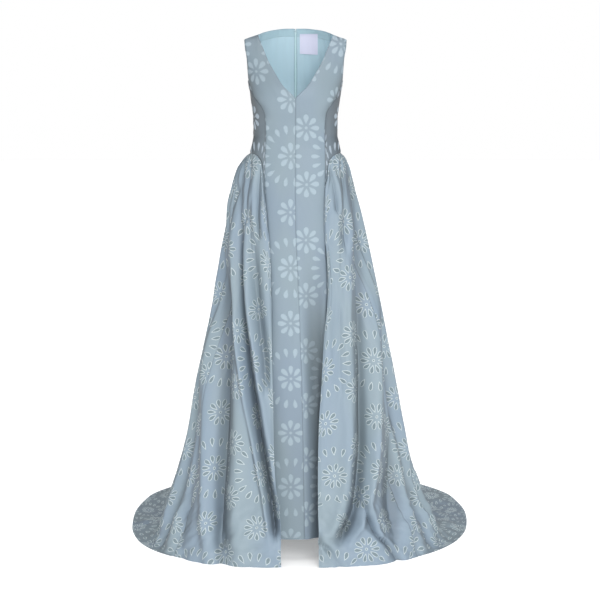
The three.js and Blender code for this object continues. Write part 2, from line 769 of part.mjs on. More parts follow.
function overskirt(side) {
  for (const gore of GORES) {
    const grid = gridOf(even(gore.columns), SKIRT_ROWS, (across, down) => {
      return onSkirt(side, mix(gore.from, gore.to, across), down);
    });
    const trims = { start: gore.from ? HALF : 0, end: HALF, top: HIP_EASE };
    add("overskirt_" + gore.name + "_" + tag(side), clothWall(grid, 0, CLOTH, trims), GOWN);
  }
}

// Inside of the back: the facing along the neck, the lining below it, and the label on both.
const TAPE_FACE = CLOTH + 2 * SEAM;
const LINING_FACE = TAPE_FACE + LINING + SEAM;
const LABEL_FACE = LINING_FACE + LINING + 2 * SEAM;

function insideBack(side, x, z) {
  return onBody(side, backTurn(x, z), z);
}

const FACING_ROWS = BACK_ROWS.slice(0, 4).map((down) => Math.max(down, 0.003));
const LINING_ROWS = BACK_ROWS.slice(3);
const INSIDE_REACH = { neck: 0.64, waist: 0.985 }; // share of the back panel's width that is lined

function insideWall(side, rows) {
  return gridOf(even(8), rows, (across, down) => {
    const reach = mix(INSIDE_REACH.neck, INSIDE_REACH.waist, ease((down - 0.06) / 0.3));
    const edge = LINING_FROM_ZIP / mix(SHOULDER_POINT, SIDE_BACK_X, ease(down / 0.5));
    return backCell(side, mix(edge, reach, across), down);
  });
}

function neckFacing(side) {
  const wall = clothWall(insideWall(side, FACING_ROWS), LINING_FACE, LINING_FACE + LINING, { bottom: HALF });
  add("neck_facing_" + tag(side), wall, GOWN);
}

function backLining(side) {
  const wall = clothWall(insideWall(side, LINING_ROWS), LINING_FACE, LINING_FACE + LINING, { top: HALF });
  add("back_lining_" + tag(side), wall, AQUA);
}

function label() {
  const grid = gridOf(even(4), even(4), (across, down) => {
    const x = LABEL.from_zip + LABEL.width * across;
    const sag = LABEL.sag * across * down;
    const cell = insideBack(1, x, BACK_NECK - LABEL.below_neck - LABEL.height * down - sag);
    cell.p.addScaledVector(cell.n, -1.5 * Math.sin(Math.PI * across) * down);
    return cell;
  });
  add("label", clothWall(grid, LABEL_FACE, LABEL_FACE + LINING), LILAC);
}

// Zip: each tape follows the back seam, first of the bodice and then of the overskirt.
const TAPE_BACK_ROWS = [0.045, ...BACK_ROWS.filter((down) => down >= 0.06 && down < 1), 0.985];
const TAPE_SKIRT_ROWS = SKIRT_ROWS.slice(0, 4);

function zipTape(side) {
  const strip = (at) => even(2).map((share) => at(mix(HALF, TAPE_WIDTH, share)));
  const onSeam = (x, down) => {
    const z = mix(BACK_NECK, HIP_BACK, down);
    return insideBack(side, x, z);
  };
  const onGore = (x, down) => {
    const cell = onSkirt(side, 1, down);
    cell.p.x = side * x;
    cell.n.x = 0;
    return cell;
  };
  const grid = [
    ...TAPE_BACK_ROWS.map((down) => strip((x) => onSeam(x, down))),
    ...TAPE_SKIRT_ROWS.map((down) => strip((x) => onGore(x, down))),
  ];
  add("zip_tape_" + tag(side), clothWall(grid, TAPE_FACE, TAPE_FACE + LINING), TAPE);
}

// ---------------------------------------------------------------- zip slider, pull, hook and eye

const SLIDER = { width: 5.6, height: 8, plate: 1.2, post: 0.9, post_height: 5, z: 13 };
const BAR = { radius: 0.5, stand: 3.4, ear: 0.9, inner: 1.6 };
const PULL = { eye: 1, ring: 1.6, thick: 1, neck: 2.4, width: 6, length: 24 };

const wasm = await Module();
wasm.setup();

function toSolid(geometry) {
  const bare = geometry.clone();
  for (const name of ["normal", "uv"]) bare.deleteAttribute(name);
  const merged = mergeVertices(bare, 1e-4);
  const vertProperties = merged.attributes.position.array;
  const triVerts = new Uint32Array(merged.index.array);
  return new wasm.Manifold(new wasm.Mesh({ numProp: 3, vertProperties, triVerts }));
}

function toGeometry(solid) {
  const mesh = solid.getMesh();
  const geometry = new THREE.BufferGeometry();
  geometry.setAttribute("position", new THREE.Float32BufferAttribute(mesh.vertProperties, 3));
  geometry.setIndex(new THREE.Uint32BufferAttribute(mesh.triVerts, 1));
  return geometry;
}

const box = (x, y, z, at) => toSolid(new THREE.BoxGeometry(x, y, z).translate(...at));

const rodAlongX = (radius, length, at) =>
  toSolid(new THREE.CylinderGeometry(radius, radius, length, 12).rotateZ(Math.PI / 2).translate(...at));

// The slider's own frame lies on the back's outer face: X across, Y out of the cloth, Z up the seam.
function sliderFrame() {
  const seat = onBody(1, BACK_TURN, SLIDER.z);
  const frame = new THREE.Group();
  frame.position.set(0, seat.p.y, SLIDER.z);
  frame.rotation.x = Math.asin(seat.n.z);
  return frame;
}

function zip() {
  const frame = sliderFrame();
  gown.add(frame);
  const outerY = SEAM + SLIDER.plate / 2;
  const innerY = -(TAPE_FACE + SLIDER.plate / 2 + 0.2);
  const postLength = outerY - innerY;
  const earX = BAR.inner + BAR.ear / 2;
  const earDepth = BAR.stand + BAR.radius + 0.3 - outerY;
  const pieces = [
    box(SLIDER.width, SLIDER.plate, SLIDER.height, [0, innerY, 0]),
    box(SLIDER.post, postLength, SLIDER.post_height, [0, (outerY + innerY) / 2, 0]),
    ...[-1, 1].map((way) => box(BAR.ear, earDepth, 2.2, [way * earX, outerY + earDepth / 2, 2])),
    rodAlongX(BAR.radius, 2 * earX, [0, BAR.stand, 2]),
  ];
  const plate = box(SLIDER.width, SLIDER.plate, SLIDER.height, [0, outerY, 0]);
  const slider = pieces.reduce((all, piece) => all.add(piece), plate);
  add("zip_slider", toGeometry(slider), METAL, frame);

  const outline = new THREE.Shape();
  const eyeZ = 2;
  outline.moveTo(-PULL.neck / 2, eyeZ);
  outline.absarc(0, eyeZ, PULL.neck / 2, Math.PI, 0, true);
  outline.quadraticCurveTo(PULL.neck / 2, -8, PULL.width / 2, -PULL.length + PULL.width / 2);
  outline.absarc(0, -PULL.length + PULL.width / 2, PULL.width / 2, 0, Math.PI, true);
  outline.quadraticCurveTo(-PULL.neck / 2, -8, -PULL.neck / 2, eyeZ);
  const options = { depth: PULL.thick, bevelEnabled: false, curveSegments: 6 };
  const tab = new THREE.ExtrudeGeometry(outline, options);
  tab.rotateX(Math.PI / 2).translate(0, BAR.stand + PULL.thick / 2, 0);
  const ring = rodAlongX(PULL.ring, PULL.neck, [0, BAR.stand, eyeZ]);
  const eye = rodAlongX(PULL.eye, PULL.neck + 2, [0, BAR.stand, eyeZ]);
  add("zip_pull", toGeometry(toSolid(tab).add(ring).subtract(eye)), METAL, frame);
}

// A bent wire through the given points.
function wire(points, radius) {
  const path = new THREE.CatmullRomCurve3(points);
  const section = new THREE.Shape();
  section.absarc(0, 0, radius, 0, 2 * Math.PI, false);
  const options = { steps: 14, extrudePath: path, curveSegments: 4, bevelEnabled: false };
  return new THREE.ExtrudeGeometry(section, options);
}

const HOOK = { wire: 0.5, z: 19 };
const HOOK_FACE = LABEL_FACE + 0.5;

// Hook on one side of the neck and eye on the other, closed over the zip on the inside.
function hookAndEye() {
  const face = onBody(1, BACK_TURN, HOOK.z);
  const upward = new THREE.Vector3(0, -face.n.z, face.n.y);
  const inside = (x, depth, up) => {
    const spot = new THREE.Vector3(x, face.p.y, HOOK.z).addScaledVector(upward, up);
    return spot.addScaledVector(face.n, -(HOOK_FACE + HOOK.wire + depth));
  };
  const shank = [inside(-9, 0, 1.4), inside(-4, 0, 0.9), inside(1, 0.2, 0)];
  const bill = [inside(1.6, 1.3, 0), inside(-2, 1.9, 0)];
  add("neck_hook", wire([...shank, ...bill], HOOK.wire), METAL);
  const upper = [inside(9, 0, 2), inside(5, 0.1, 2)];
  const lower = [inside(5, 0.1, -2), inside(9, 0, -2)];
  add("neck_eye", wire([...upper, inside(3.4, 0.7, 0), ...lower], HOOK.wire), METAL);
}

for (const side of [-1, 1]) {
  frontCentre(side);
  sideFront(side);
  sideBack(side);
  backPanel(side);
  columnSide(side);
  columnBack(side);
  overskirt(side);
  neckFacing(side);
  backLining(side);
  zipTape(side);
}
label();
zip();
hookAndEye();

export default gown;
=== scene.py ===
"""Visual model of a sleeveless V-neck gown with an open pleated overskirt and a train.

Lengths in the tables are millimetres, with +Z up, +Y to the back and X = 0 on the centre line.
"""

from __future__ import annotations

import logging
import math
from dataclasses import dataclass
from enum import Enum

import bpy
import numpy as np
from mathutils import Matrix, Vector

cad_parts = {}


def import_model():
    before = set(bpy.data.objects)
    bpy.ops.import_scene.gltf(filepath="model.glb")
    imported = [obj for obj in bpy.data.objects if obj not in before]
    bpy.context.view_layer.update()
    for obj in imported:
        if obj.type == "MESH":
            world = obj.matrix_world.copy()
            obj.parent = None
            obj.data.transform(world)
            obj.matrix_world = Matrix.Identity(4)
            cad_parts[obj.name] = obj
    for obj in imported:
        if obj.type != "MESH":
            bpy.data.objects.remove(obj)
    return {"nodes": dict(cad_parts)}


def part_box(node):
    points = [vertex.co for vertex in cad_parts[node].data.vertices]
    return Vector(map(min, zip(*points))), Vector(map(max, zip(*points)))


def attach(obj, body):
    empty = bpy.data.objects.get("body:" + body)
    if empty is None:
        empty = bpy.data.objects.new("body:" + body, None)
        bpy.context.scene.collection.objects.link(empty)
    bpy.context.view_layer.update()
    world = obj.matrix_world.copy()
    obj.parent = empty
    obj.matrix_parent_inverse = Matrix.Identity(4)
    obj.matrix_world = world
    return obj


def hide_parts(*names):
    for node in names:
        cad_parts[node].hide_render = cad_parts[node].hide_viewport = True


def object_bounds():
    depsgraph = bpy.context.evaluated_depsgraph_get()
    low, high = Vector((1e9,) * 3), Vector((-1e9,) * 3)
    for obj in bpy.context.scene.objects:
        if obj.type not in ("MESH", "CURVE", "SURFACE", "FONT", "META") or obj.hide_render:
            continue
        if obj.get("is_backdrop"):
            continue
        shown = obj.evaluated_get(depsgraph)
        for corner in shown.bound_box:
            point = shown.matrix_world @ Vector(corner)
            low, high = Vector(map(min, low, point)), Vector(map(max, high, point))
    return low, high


LOG = logging.getLogger("gown")
UV_MAP = "cloth"
MM = 0.001
TAU = 2 * math.pi
Array = np.ndarray


class Side(Enum):
    """The two halves of the gown, by the sign of X."""

    LEFT = -1
    RIGHT = 1

    @property
    def column(self) -> str:
        """Name of this side's column in a table."""
        return self.name.lower()

    @property
    def tag(self) -> str:
        """Ending of this side's node names."""
        return "l" if self is Side.LEFT else "r"


class Held(Enum):
    """How a cut of cloth is held."""

    DRAPED = "draped"
    HUNG = "hung"
    GATHERED = "gathered"


# ------------------------------------------------------------------ tables of the form


class Table:
    """Rows of numbers under named columns, read as smooth curves that never overshoot a row."""

    def __init__(self, columns: str, *rows: tuple[float, ...]) -> None:
        """Keeps the rows in order of their first column.

        Args:
            columns: names of the columns, the key first.
            rows: one tuple of numbers a row.
        """
        self.names = columns.split()
        self.data = np.array(sorted(rows), float).T

    def at(self, column: str, key: Array | float) -> Array:
        """Value of a column where the key column reaches a number.

        Args:
            column: name of the column to read.
            key: places along the key column.

        Returns:
            The values, in the shape of key.
        """
        x, y = self.data[0], self.data[self.names.index(column)]
        step = np.diff(y) / np.diff(x)
        before, after = step[:-1], step[1:]
        same = before * after > 0
        inner = np.where(same, 2 * before * after / np.where(same, before + after, 1), 0)
        slope = np.concatenate([step[:1], inner, step[-1:]])
        t = np.clip(key, x[0], x[-1])
        i = np.clip(np.searchsorted(x, t) - 1, 0, len(x) - 2)
        span = x[i + 1] - x[i]
        s = (t - x[i]) / span
        near = (1 + 2 * s) * (1 - s) ** 2 * y[i] + s * (1 - s) ** 2 * span * slope[i]
        return near + s * s * (3 - 2 * s) * y[i + 1] + s * s * (s - 1) * span * slope[i + 1]


WIDTHS = Table(
    "z side",
    *((30, 206), (0, 200), (-50, 182), (-80, 172), (-120, 160), (-150, 149), (-160, 146.5)),
    *((-208, 138.5), (-259, 132), (-310, 132), (-336, 136.5), (-366, 143), (-446, 151)),
    *((-600, 158), (-900, 160), (-1250, 166), (-1578, 174)),
)
DEPTHS = Table(
    "root front back",
    *(
        (math.sqrt(drop), front, back)
        for drop, front, back in (
            *((0, 0, 0), (5, 14, 16), (15, 26, 29), (30, 40, 42), (50, 57, 57), (75, 74, 70)),
            *((100, 89, 82), (130, 103, 93), (160, 114, 100), (195, 121, 101), (235, 113, 95)),
            *((285, 98, 88), (340, 98, 96), (400, 104, 108), (446, 107, 114), (600, 110, 122)),
            *((900, 115, 116), (1250, 118, 120), (1578, 121, 128)),
        )
    ),
)
V_NECK = Table(
    "z x", (0, 117), (-40, 101), (-84, 83), (-125, 60), (-160, 38), (-186, 12), (-198, 0)
)
ARMHOLE = Table(
    "z x", (-15, 160), (-60, 154), (-80, 151.5), (-120, 149), (-150, 147), (-160, 146.5)
)
PRINCESS = Table(
    "z left right",
    *((-138, 147.8, 147.8), (-190, 130, 131), (-228, 104, 105), (-252, 95, 95), (-301, 92, 92)),
    *((-340, 93, 92), (-446, 96, 94), (-600, 86, 97), (-820, 77, 98), (-1260, 74, 94)),
    *((-1437, 62, 90), (-1578, 48, 88)),
)
CENTRE_FRONT = Table("z x", (0, 0), (-545, 0), (-830, 11), (-1100, 20), (-1578, 29))
HIP_SEAM = Table(
    "across z", (0, -446), (0.08, -401), (0.17, -385), (0.36, -372), (0.6, -367), (1, -366)
)
STATIONS = Table(
    "round turn floor_x floor_y hem_x hem_y",
    *((0, 36, 58, -190, 58, -190), (0.08, 55, 165, -177, 165, -177)),
    *((0.17, 78, 272, -149, 272, -149), (0.28, 96, 392, -62, 394, -61)),
    *((0.38, 108, 452, 28, 475, 28), (0.48, 119, 474, 118, 534, 140)),
    *((0.58, 130, 462, 215, 574, 300), (0.68, 141, 415, 310, 588, 500)),
    *((0.78, 152, 322, 392, 562, 725), (0.86, 162, 220, 440, 462, 920)),
    *((0.93, 171, 112, 466, 262, 1085), (1, 180, 0, 475, 0, 1150)),
)
FLARE = Table(
    "fall out",
    *((0, 0), (0.02, 0.072), (0.06, 0.138), (0.12, 0.188), (0.24, 0.264), (0.38, 0.364)),
    *((0.58, 0.515), (0.68, 0.59), (0.775, 0.675), (0.835, 0.745), (0.92, 0.87), (1, 1)),
)
FRONT_EDGE = Table(
    "z left right",
    *((-446, 101, 98), (-475, 98, 90), (-558, 90, 91), (-655, 80, 96), (-774, 76, 105)),
    *((-932, 73, 91), (-1107, 71, 81), (-1222, 69, 74), (-1400, 60, 71), (-1500, 48, 72)),
    (-1650, 45, 74),
)
SWELL = Table(
    "z left right",
    *((-366, 7, 0), (-458, 8, 0), (-615, 8, 4.5), (-770, 8, 9), (-850, 5.5, 10)),
    *((-1100, 3, 10), (-1240, 1.5, 9), (-1340, 1.5, 3), (-1430, 1.5, -12), (-1480, 1, -14)),
    (-1560, 0, 0),
)

# Places of the gown's corners and seams, and of the floor.
NECK_POINT = 117
SHOULDER_POINT = 160
SHOULDER_DROP = 15
BACK_NECK = 22
BACK_RISE = 75
V_POINT = -198
UNDERARM = -160
PRINCESS_TOP = -138
SIDE_BACK_TOP = -104
SIDE_BACK_X = 88
HIP_FRONT = -446
HIP_SIDE = -366
HIP_BACK = -350
COLUMN_HEM = -1578
FLOOR = -1650
# Exponent of the body's section, and the turns of its side and back, in degrees.
ROUNDNESS = 2.4
SIDE_TURN = 90
BACK_TURN = 180
# Share of the back's height at which its armhole ends.
BACK_CORNER = 0.277
# Waves that add up to one relief, and the height that their sum seldom passes.
NOISE_WAVES = 14
NOISE_PEAK = 5
# Where the overskirt's top lies on the flat cloth, and the least spread of a gore laid as a fan.
FLAT_TOP = 400
LEAST_SPREAD = 0.02
# Angles up to which a mesh is shaded smooth, in degrees.
CLOTH_SMOOTH = 55
COIL_SMOOTH = 30


@dataclass(frozen=True)
class Fold:
    """A valley with a ridge on each side, along a line seen from the front.

    depth is how far its middle goes in, width half its width, and line its places (z, x).
    """

    depth: float
    width: float
    line: tuple[tuple[float, float], ...]
    ease_in: float = 90
    crease: float = 0.3
    lean: float = 0.25

    def move(self, p: Array) -> Array:
        """How far this fold moves each point out along its normal.

        Args:
            p: points of one side of the overskirt.

        Returns:
            The moves, one a point.
        """
        first, last = self.line[0][0], self.line[-1][0]
        z = p[..., 2]
        onset = below(z, first, self.ease_in)
        ending = 1.0 if last <= FLOOR else above(z, last, self.ease_in)
        middle = Table("z x", *self.line).at("x", z)
        away = (np.abs(p[..., 0]) - middle) / self.width
        line = self.crease * np.exp(-(((away - self.lean) / 0.28) ** 2))
        return self.depth * onset * ending * (valley(away + self.lean * away**2 / 4) - line)


FRONT_FOLDS = {
    Side.LEFT: (
        Fold(
            30,
            26,
            (
                *((-560, 207), (-630, 219), (-880, 225), (-1083, 231), (-1297, 237)),
                *((-1535, 243), (-1650, 236)),
            ),
            380,
        ),
        Fold(
            22,
            13,
            (
                *((-420, 150), (-490, 173), (-816, 168), (-977, 152), (-1160, 127)),
                *((-1331, 98), (-1463, 74), (-1600, 58)),
            ),
            90,
            0.45,
        ),
        Fold(13, 15, ((-470, 118), (-558, 141), (-925, 108), (-1023, 96), (-1150, 90))),
        Fold(7, 30, ((-900, 330), (-1250, 345), (-1650, 360)), 320),
        Fold(9, 8, ((-384, 103), (-420, 108), (-470, 114), (-560, 117), (-640, 112)), 30, 0.6),
        Fold(8, 8, ((-372, 150), (-430, 163), (-520, 186), (-640, 205)), 30, 0.6),
        Fold(7, 9, ((-372, 128), (-430, 140), (-520, 152), (-600, 158)), 30, 0.4),
    ),
    Side.RIGHT: (
        Fold(12, 8, ((-392, 108), (-420, 108), (-450, 113), (-500, 121), (-560, 128)), 25, 0.6),
        Fold(8, 8, ((-370, 152), (-430, 176), (-520, 204), (-660, 226)), 30, 0.5),
        Fold(4, 14, ((-800, 133), (-905, 133), (-1031, 134), (-1150, 146))),
        Fold(16, 13, ((-384, 126), (-426, 145), (-497, 153), (-613, 153), (-700, 150))),
        Fold(
            28,
            22,
            (
                *((-386, 138), (-430, 163), (-480, 182), (-615, 202), (-800, 209)),
                *((-1093, 214), (-1241, 215), (-1369, 206), (-1471, 189), (-1615, 118)),
            ),
        ),
        Fold(15, 28, ((-620, 236), (-820, 268), (-1200, 300), (-1650, 322)), 320),
        Fold(
            11,
            12,
            ((-1440, 200), (-1448, 206), (-1510, 229), (-1563, 254), (-1590, 289), (-1650, 330)),
            40,
            0.6,
        ),
    ),
}


@dataclass(frozen=True)
class BackFold:
    """A fold in the sides and back, by its place round the overskirt at the hip and the floor."""

    at_hip: float
    at_floor: float
    depth: float
    width: float
    start: float

    def move(self, round_: Array, z: Array) -> Array:
        """How far this fold moves each point out along its normal.

        Args:
            round_: places round the overskirt, 0 at the front edge and 1 at the centre back.
            z: heights of the same points.

        Returns:
            The moves, one a point.
        """
        fall = np.clip((self.start - z) / (self.start - FLOOR), 0, 1)
        at = mix(self.at_hip, self.at_floor, fall)
        depth = self.depth * mix(0.3, 1, fall) * below(z, self.start, 260)
        return depth * valley((round_ - at) / self.width)


BACK_FOLDS = tuple(
    BackFold(*row)
    for row in (
        (0.4, 0.37, 20, 0.028, -420),
        (0.5, 0.46, 28, 0.027, -380),
        (0.585, 0.56, 26, 0.026, -380),
        (0.68, 0.655, 30, 0.027, -370),
        (0.765, 0.75, 26, 0.026, -370),
        (0.85, 0.84, 30, 0.027, -360),
        (0.93, 0.925, 26, 0.025, -360),
    )
)


def mix(a: Array | float, b: Array | float, share: Array | float) -> Array:
    """The value a share of the way from a to b."""
    return a + (b - a) * share


def ease(value: Array | float) -> Array:
    """A share from 0 to 1 that starts and ends gently."""
    t = np.clip(value, 0, 1)
    return t * t * (3 - 2 * t)


def below(z: Array, height: Array | float, span: float) -> Array:
    """A share that grows from 0 at a height to 1 a span below it."""
    return ease((height - z) / span)


def above(z: Array, height: float, span: float) -> Array:
    """A share that grows from 0 at a height to 1 a span above it."""
    return ease((z - height) / span)


def valley(distance: Array) -> Array:
    """Profile of a fold at a distance in its half-widths, -1 at its middle."""
    return 0.45 * np.exp(-((np.abs(distance) - 1.9) ** 2) * 1.6) - np.exp(-(distance**2) * 1.3)


def smooth_noise(u: Array, v: Array, length: float, seed: int, stretch: float = 1) -> Array:
    """An even random relief from -1 to 1.

    Args:
        u: places across, in millimetres.
        v: places down, in millimetres.
        length: the relief's typical wavelength across.
        seed: number that chooses the relief.
        stretch: how many times longer it is down than across.

    Returns:
        The relief at each place.
    """
    draw = np.random.default_rng(seed)
    total = np.zeros(np.broadcast(u, v).shape)
    for _ in range(NOISE_WAVES):
        way, phase = draw.uniform(0, TAU, 2)
        beat = TAU / (length * draw.uniform(0.6, 1.7))
        total += np.sin(beat * (np.cos(way) * u + np.sin(way) * v / stretch) + phase)
    return total / NOISE_PEAK


# ------------------------------------------------------------------ surfaces


class Form:
    """The outer surface of the bodice and column."""

    def half_width(self, z: Array) -> Array:
        """Half-width of the section at a height."""
        return WIDTHS.at("side", z)

    def turn_at(self, x: Array, z: Array) -> Array:
        """Turn from the centre front, in degrees, at which the front reaches x."""
        share = np.clip(x / self.half_width(z), 0, 1) ** (ROUNDNESS / 2)
        return np.degrees(np.arcsin(share))

    def ridge(self, x: Array, back: Array) -> Array:
        """Height of the shoulder line over a point, where the surface closes."""
        shoulder = -SHOULDER_DROP * (x - NECK_POINT) / (SHOULDER_POINT - NECK_POINT)
        middle = np.where(back, BACK_RISE * (1 - (x / NECK_POINT) ** 2), 0)
        return np.where(x >= NECK_POINT, shoulder, middle)

    def point(self, side: Side, turn: Array, z: Array) -> Array:
        """Points of the surface.

        Args:
            side: the half of the gown.
            turn: degrees round from the centre front, 180 at the centre back.
            z: heights.

        Returns:
            The points, with X, Y and Z last.
        """
        turn, z = np.broadcast_arrays(np.asarray(turn, float), np.asarray(z, float))
        sine, cosine = np.abs(np.sin(np.radians(turn))), np.cos(np.radians(turn))
        x = self.half_width(z) * sine ** (2 / ROUNDNESS)
        back = cosine < 0
        share = np.clip((z - UNDERARM) / -UNDERARM, 0, 1)
        root = np.sqrt(np.maximum(0, self.ridge(x, back) * share - z))
        depth = np.where(back, DEPTHS.at("back", root), -DEPTHS.at("front", root))
        reach = np.abs(cosine) ** (2 / ROUNDNESS)
        return np.stack([side.value * x, depth * reach, z], axis=-1)

    def princess_turn(self, side: Side, z: Array) -> Array:
        """Turn of the princess seam at a height."""
        return self.turn_at(PRINCESS.at(side.column, z), z)

    def hip_seam(self, side: Side, turn: Array) -> Array:
        """Height of the hip seam at a turn."""
        front = self.princess_turn(side, np.float64(HIP_FRONT))
        share = (turn - front) / (SIDE_TURN - front)
        return np.where(turn >= SIDE_TURN, self.back_hip(turn), HIP_SEAM.at("z", share))

    def back_hip(self, turn: Array) -> Array:
        """Height of the hip seam at a turn behind the side seam."""
        return mix(HIP_SIDE, HIP_BACK, ease((turn - SIDE_TURN) / (BACK_TURN - SIDE_TURN)))

    def back_turn(self, x: Array, z: Array) -> Array:
        """Turn at which the back reaches x."""
        return BACK_TURN - self.turn_at(x, z)

    def back_point(self, side: Side, x: Array, z: Array) -> Array:
        """Points of the back at distances from the centre line."""
        return self.point(side, self.back_turn(x, z), z)

    def side_back_x(self, z: Array) -> Array:
        """Distance of the side-back seam from the centre line."""
        top = ARMHOLE.at("x", SIDE_BACK_TOP)
        return mix(top, SIDE_BACK_X, below(z, SIDE_BACK_TOP, 110) ** 0.8)

    def back_cell(self, side: Side, across: Array, down: Array) -> Array:
        """Points of the back panel.

        Args:
            side: the half of the gown.
            across: shares of the way from the zip to the armhole and side-back seam.
            down: shares of the way from the neck and shoulder to the hip seam.

        Returns:
            The points.
        """
        x_top = SHOULDER_POINT * across
        neck = BACK_NECK * (1 - (x_top / NECK_POINT) ** 3)
        top = np.where(x_top < NECK_POINT, neck, self.ridge(x_top, np.True_)) - 0.01
        low = self.back_hip(self.back_turn(SIDE_BACK_X * across, np.float64(HIP_BACK)))
        z = mix(top, low, down)
        outer = np.where(down < BACK_CORNER, ARMHOLE.at("x", z), self.side_back_x(z))
        x = mix(SHOULDER_POINT, outer, ease(down / 0.2)) * across
        return self.back_point(side, x, z)


FORM = Form()


def square_to(across: Array, down: Array, outward: Array) -> Array:
    """Unit vectors square to two directions, on the outward side."""
    n = np.cross(across, down)
    n /= np.maximum(np.linalg.norm(n, axis=-1, keepdims=True), 1e-9)
    return n * np.where((n * outward).sum(-1, keepdims=True) < 0, -1, 1)


def grid_normals(p: Array, outward: Array) -> Array:
    """Unit normals of a grid of points.

    Args:
        p: the points, by row and column.
        outward: a direction that points out of the cloth, one a point or one for all.

    Returns:
        The normals.
    """
    return square_to(np.gradient(p, axis=1), np.gradient(p, axis=0), outward)


@dataclass(frozen=True)
class SkirtForm:
    """The surface of the overskirt and train.

    edge_reach is how far round the front edge's own line carries, floor_bend the length over which
    the cloth turns to the floor, and drift how far the foot leans to +X.
    """

    edge_reach: float = 0.13
    floor_bend: float = 110
    drift: float = 15

    def base(self, side: Side, round_: Array, down: Array) -> Array:
        """Points of the overskirt before its folds.

        Args:
            side: the half of the gown.
            round_: places round it, 0 at the front edge and 1 at the centre back.
            down: shares of the way from the hip seam to the hem.

        Returns:
            The points.
        """
        turn = STATIONS.at("turn", round_)
        top = FORM.point(side, turn, FORM.hip_seam(side, turn))
        level = np.full(np.shape(turn), float(FLOOR))

        def on_floor(line: str) -> Array:
            """Points of one of the tables' lines on the floor."""
            x, y = (STATIONS.at(f"{line}_{axis}", round_) for axis in "xy")
            return np.stack([side.value * x, y, level], axis=-1)

        foot, hem = on_floor("floor"), on_floor("hem")
        fall_length = np.linalg.norm(top - foot, axis=-1)
        run_length = np.linalg.norm(foot - hem, axis=-1)
        bend = np.minimum(self.floor_bend, run_length * 0.8)
        length = np.clip(down, 0, 1) * (fall_length + run_length)

        def falling(reach: Array) -> Array:
            """Points of the part that hangs."""
            fall = np.clip(reach / fall_length, 0, 1)
            out = FLARE.at("out", fall)
            p = mix(top, foot, out[..., None])
            p[..., 2] = mix(top[..., 2], FLOOR, fall)
            wanted = FRONT_EDGE.at(side.column, p[..., 2])
            plain = mix(self.edge_top(side), side.value * STATIONS.at("floor_x", 0), out)
            fade = np.clip(1 - round_ / self.edge_reach, 0, 1) ** 2
            p[..., 0] += side.value * (wanted - np.abs(plain)) * fade
            return p

        def lying(reach: Array) -> Array:
            """Points of the part that lies on the floor."""
            share = np.clip(reach / np.maximum(run_length, 1e-6), 0, 1)
            return foot + (hem - foot) * share[..., None]

        share = np.clip((length - fall_length + bend) / np.maximum(2 * bend, 1e-6), 0, 1)[..., None]
        start, end = falling(fall_length - bend), lying(bend)
        bent = start * (1 - share) ** 2 + foot * 2 * share * (1 - share) + end * share**2
        hangs = (length <= fall_length - bend)[..., None]
        lies = (length >= fall_length + bend)[..., None]
        p = np.where(hangs, falling(length), np.where(lies, lying(length - fall_length), bent))
        p[..., 0] += self.drift * ease((round_ - 0.3) / 0.4) * below(p[..., 2], -1300, 350)
        p[..., 2] = np.maximum(p[..., 2], FLOOR)
        return p

    def edge_top(self, side: Side) -> float:
        """X of the front edge at the hip seam."""
        turn = STATIONS.at("turn", 0)
        return float(FORM.point(side, turn, FORM.hip_seam(side, turn))[0])

    def normals(self, side: Side, round_: Array, down: Array) -> Array:
        """Outward normals of the base surface."""
        step = 0.004
        across = self.base(side, round_ + step, down) - self.base(side, round_ - step, down)
        fall = self.base(side, round_, np.minimum(down + step, 1)) - self.base(
            side, round_, np.maximum(down - step, 0)
        )
        p = self.base(side, round_, down)
        outward = np.stack([p[..., 0], p[..., 1] + 40, np.full(p.shape[:-1], 400.0)], axis=-1)
        return square_to(across, fall, outward)

    def main_folds(self, side: Side, round_: Array, p: Array) -> Array:
        """How far the large folds move each point out."""
        z = p[..., 2]
        front = sum(fold.move(p) for fold in FRONT_FOLDS[side])
        fall = mix(0.5, 1.25, below(z, HIP_FRONT, 330))
        front = front * ease((0.44 - round_) / 0.08) * fall
        beside = ease((round_ - 0.12) / 0.14) * ease((0.56 - round_) / 0.14)
        swell = SWELL.at(side.column, z) * beside
        return front + swell + sum(fold.move(round_, z) for fold in BACK_FOLDS)


SKIRT = SkirtForm()


# ------------------------------------------------------------------ cloth in code


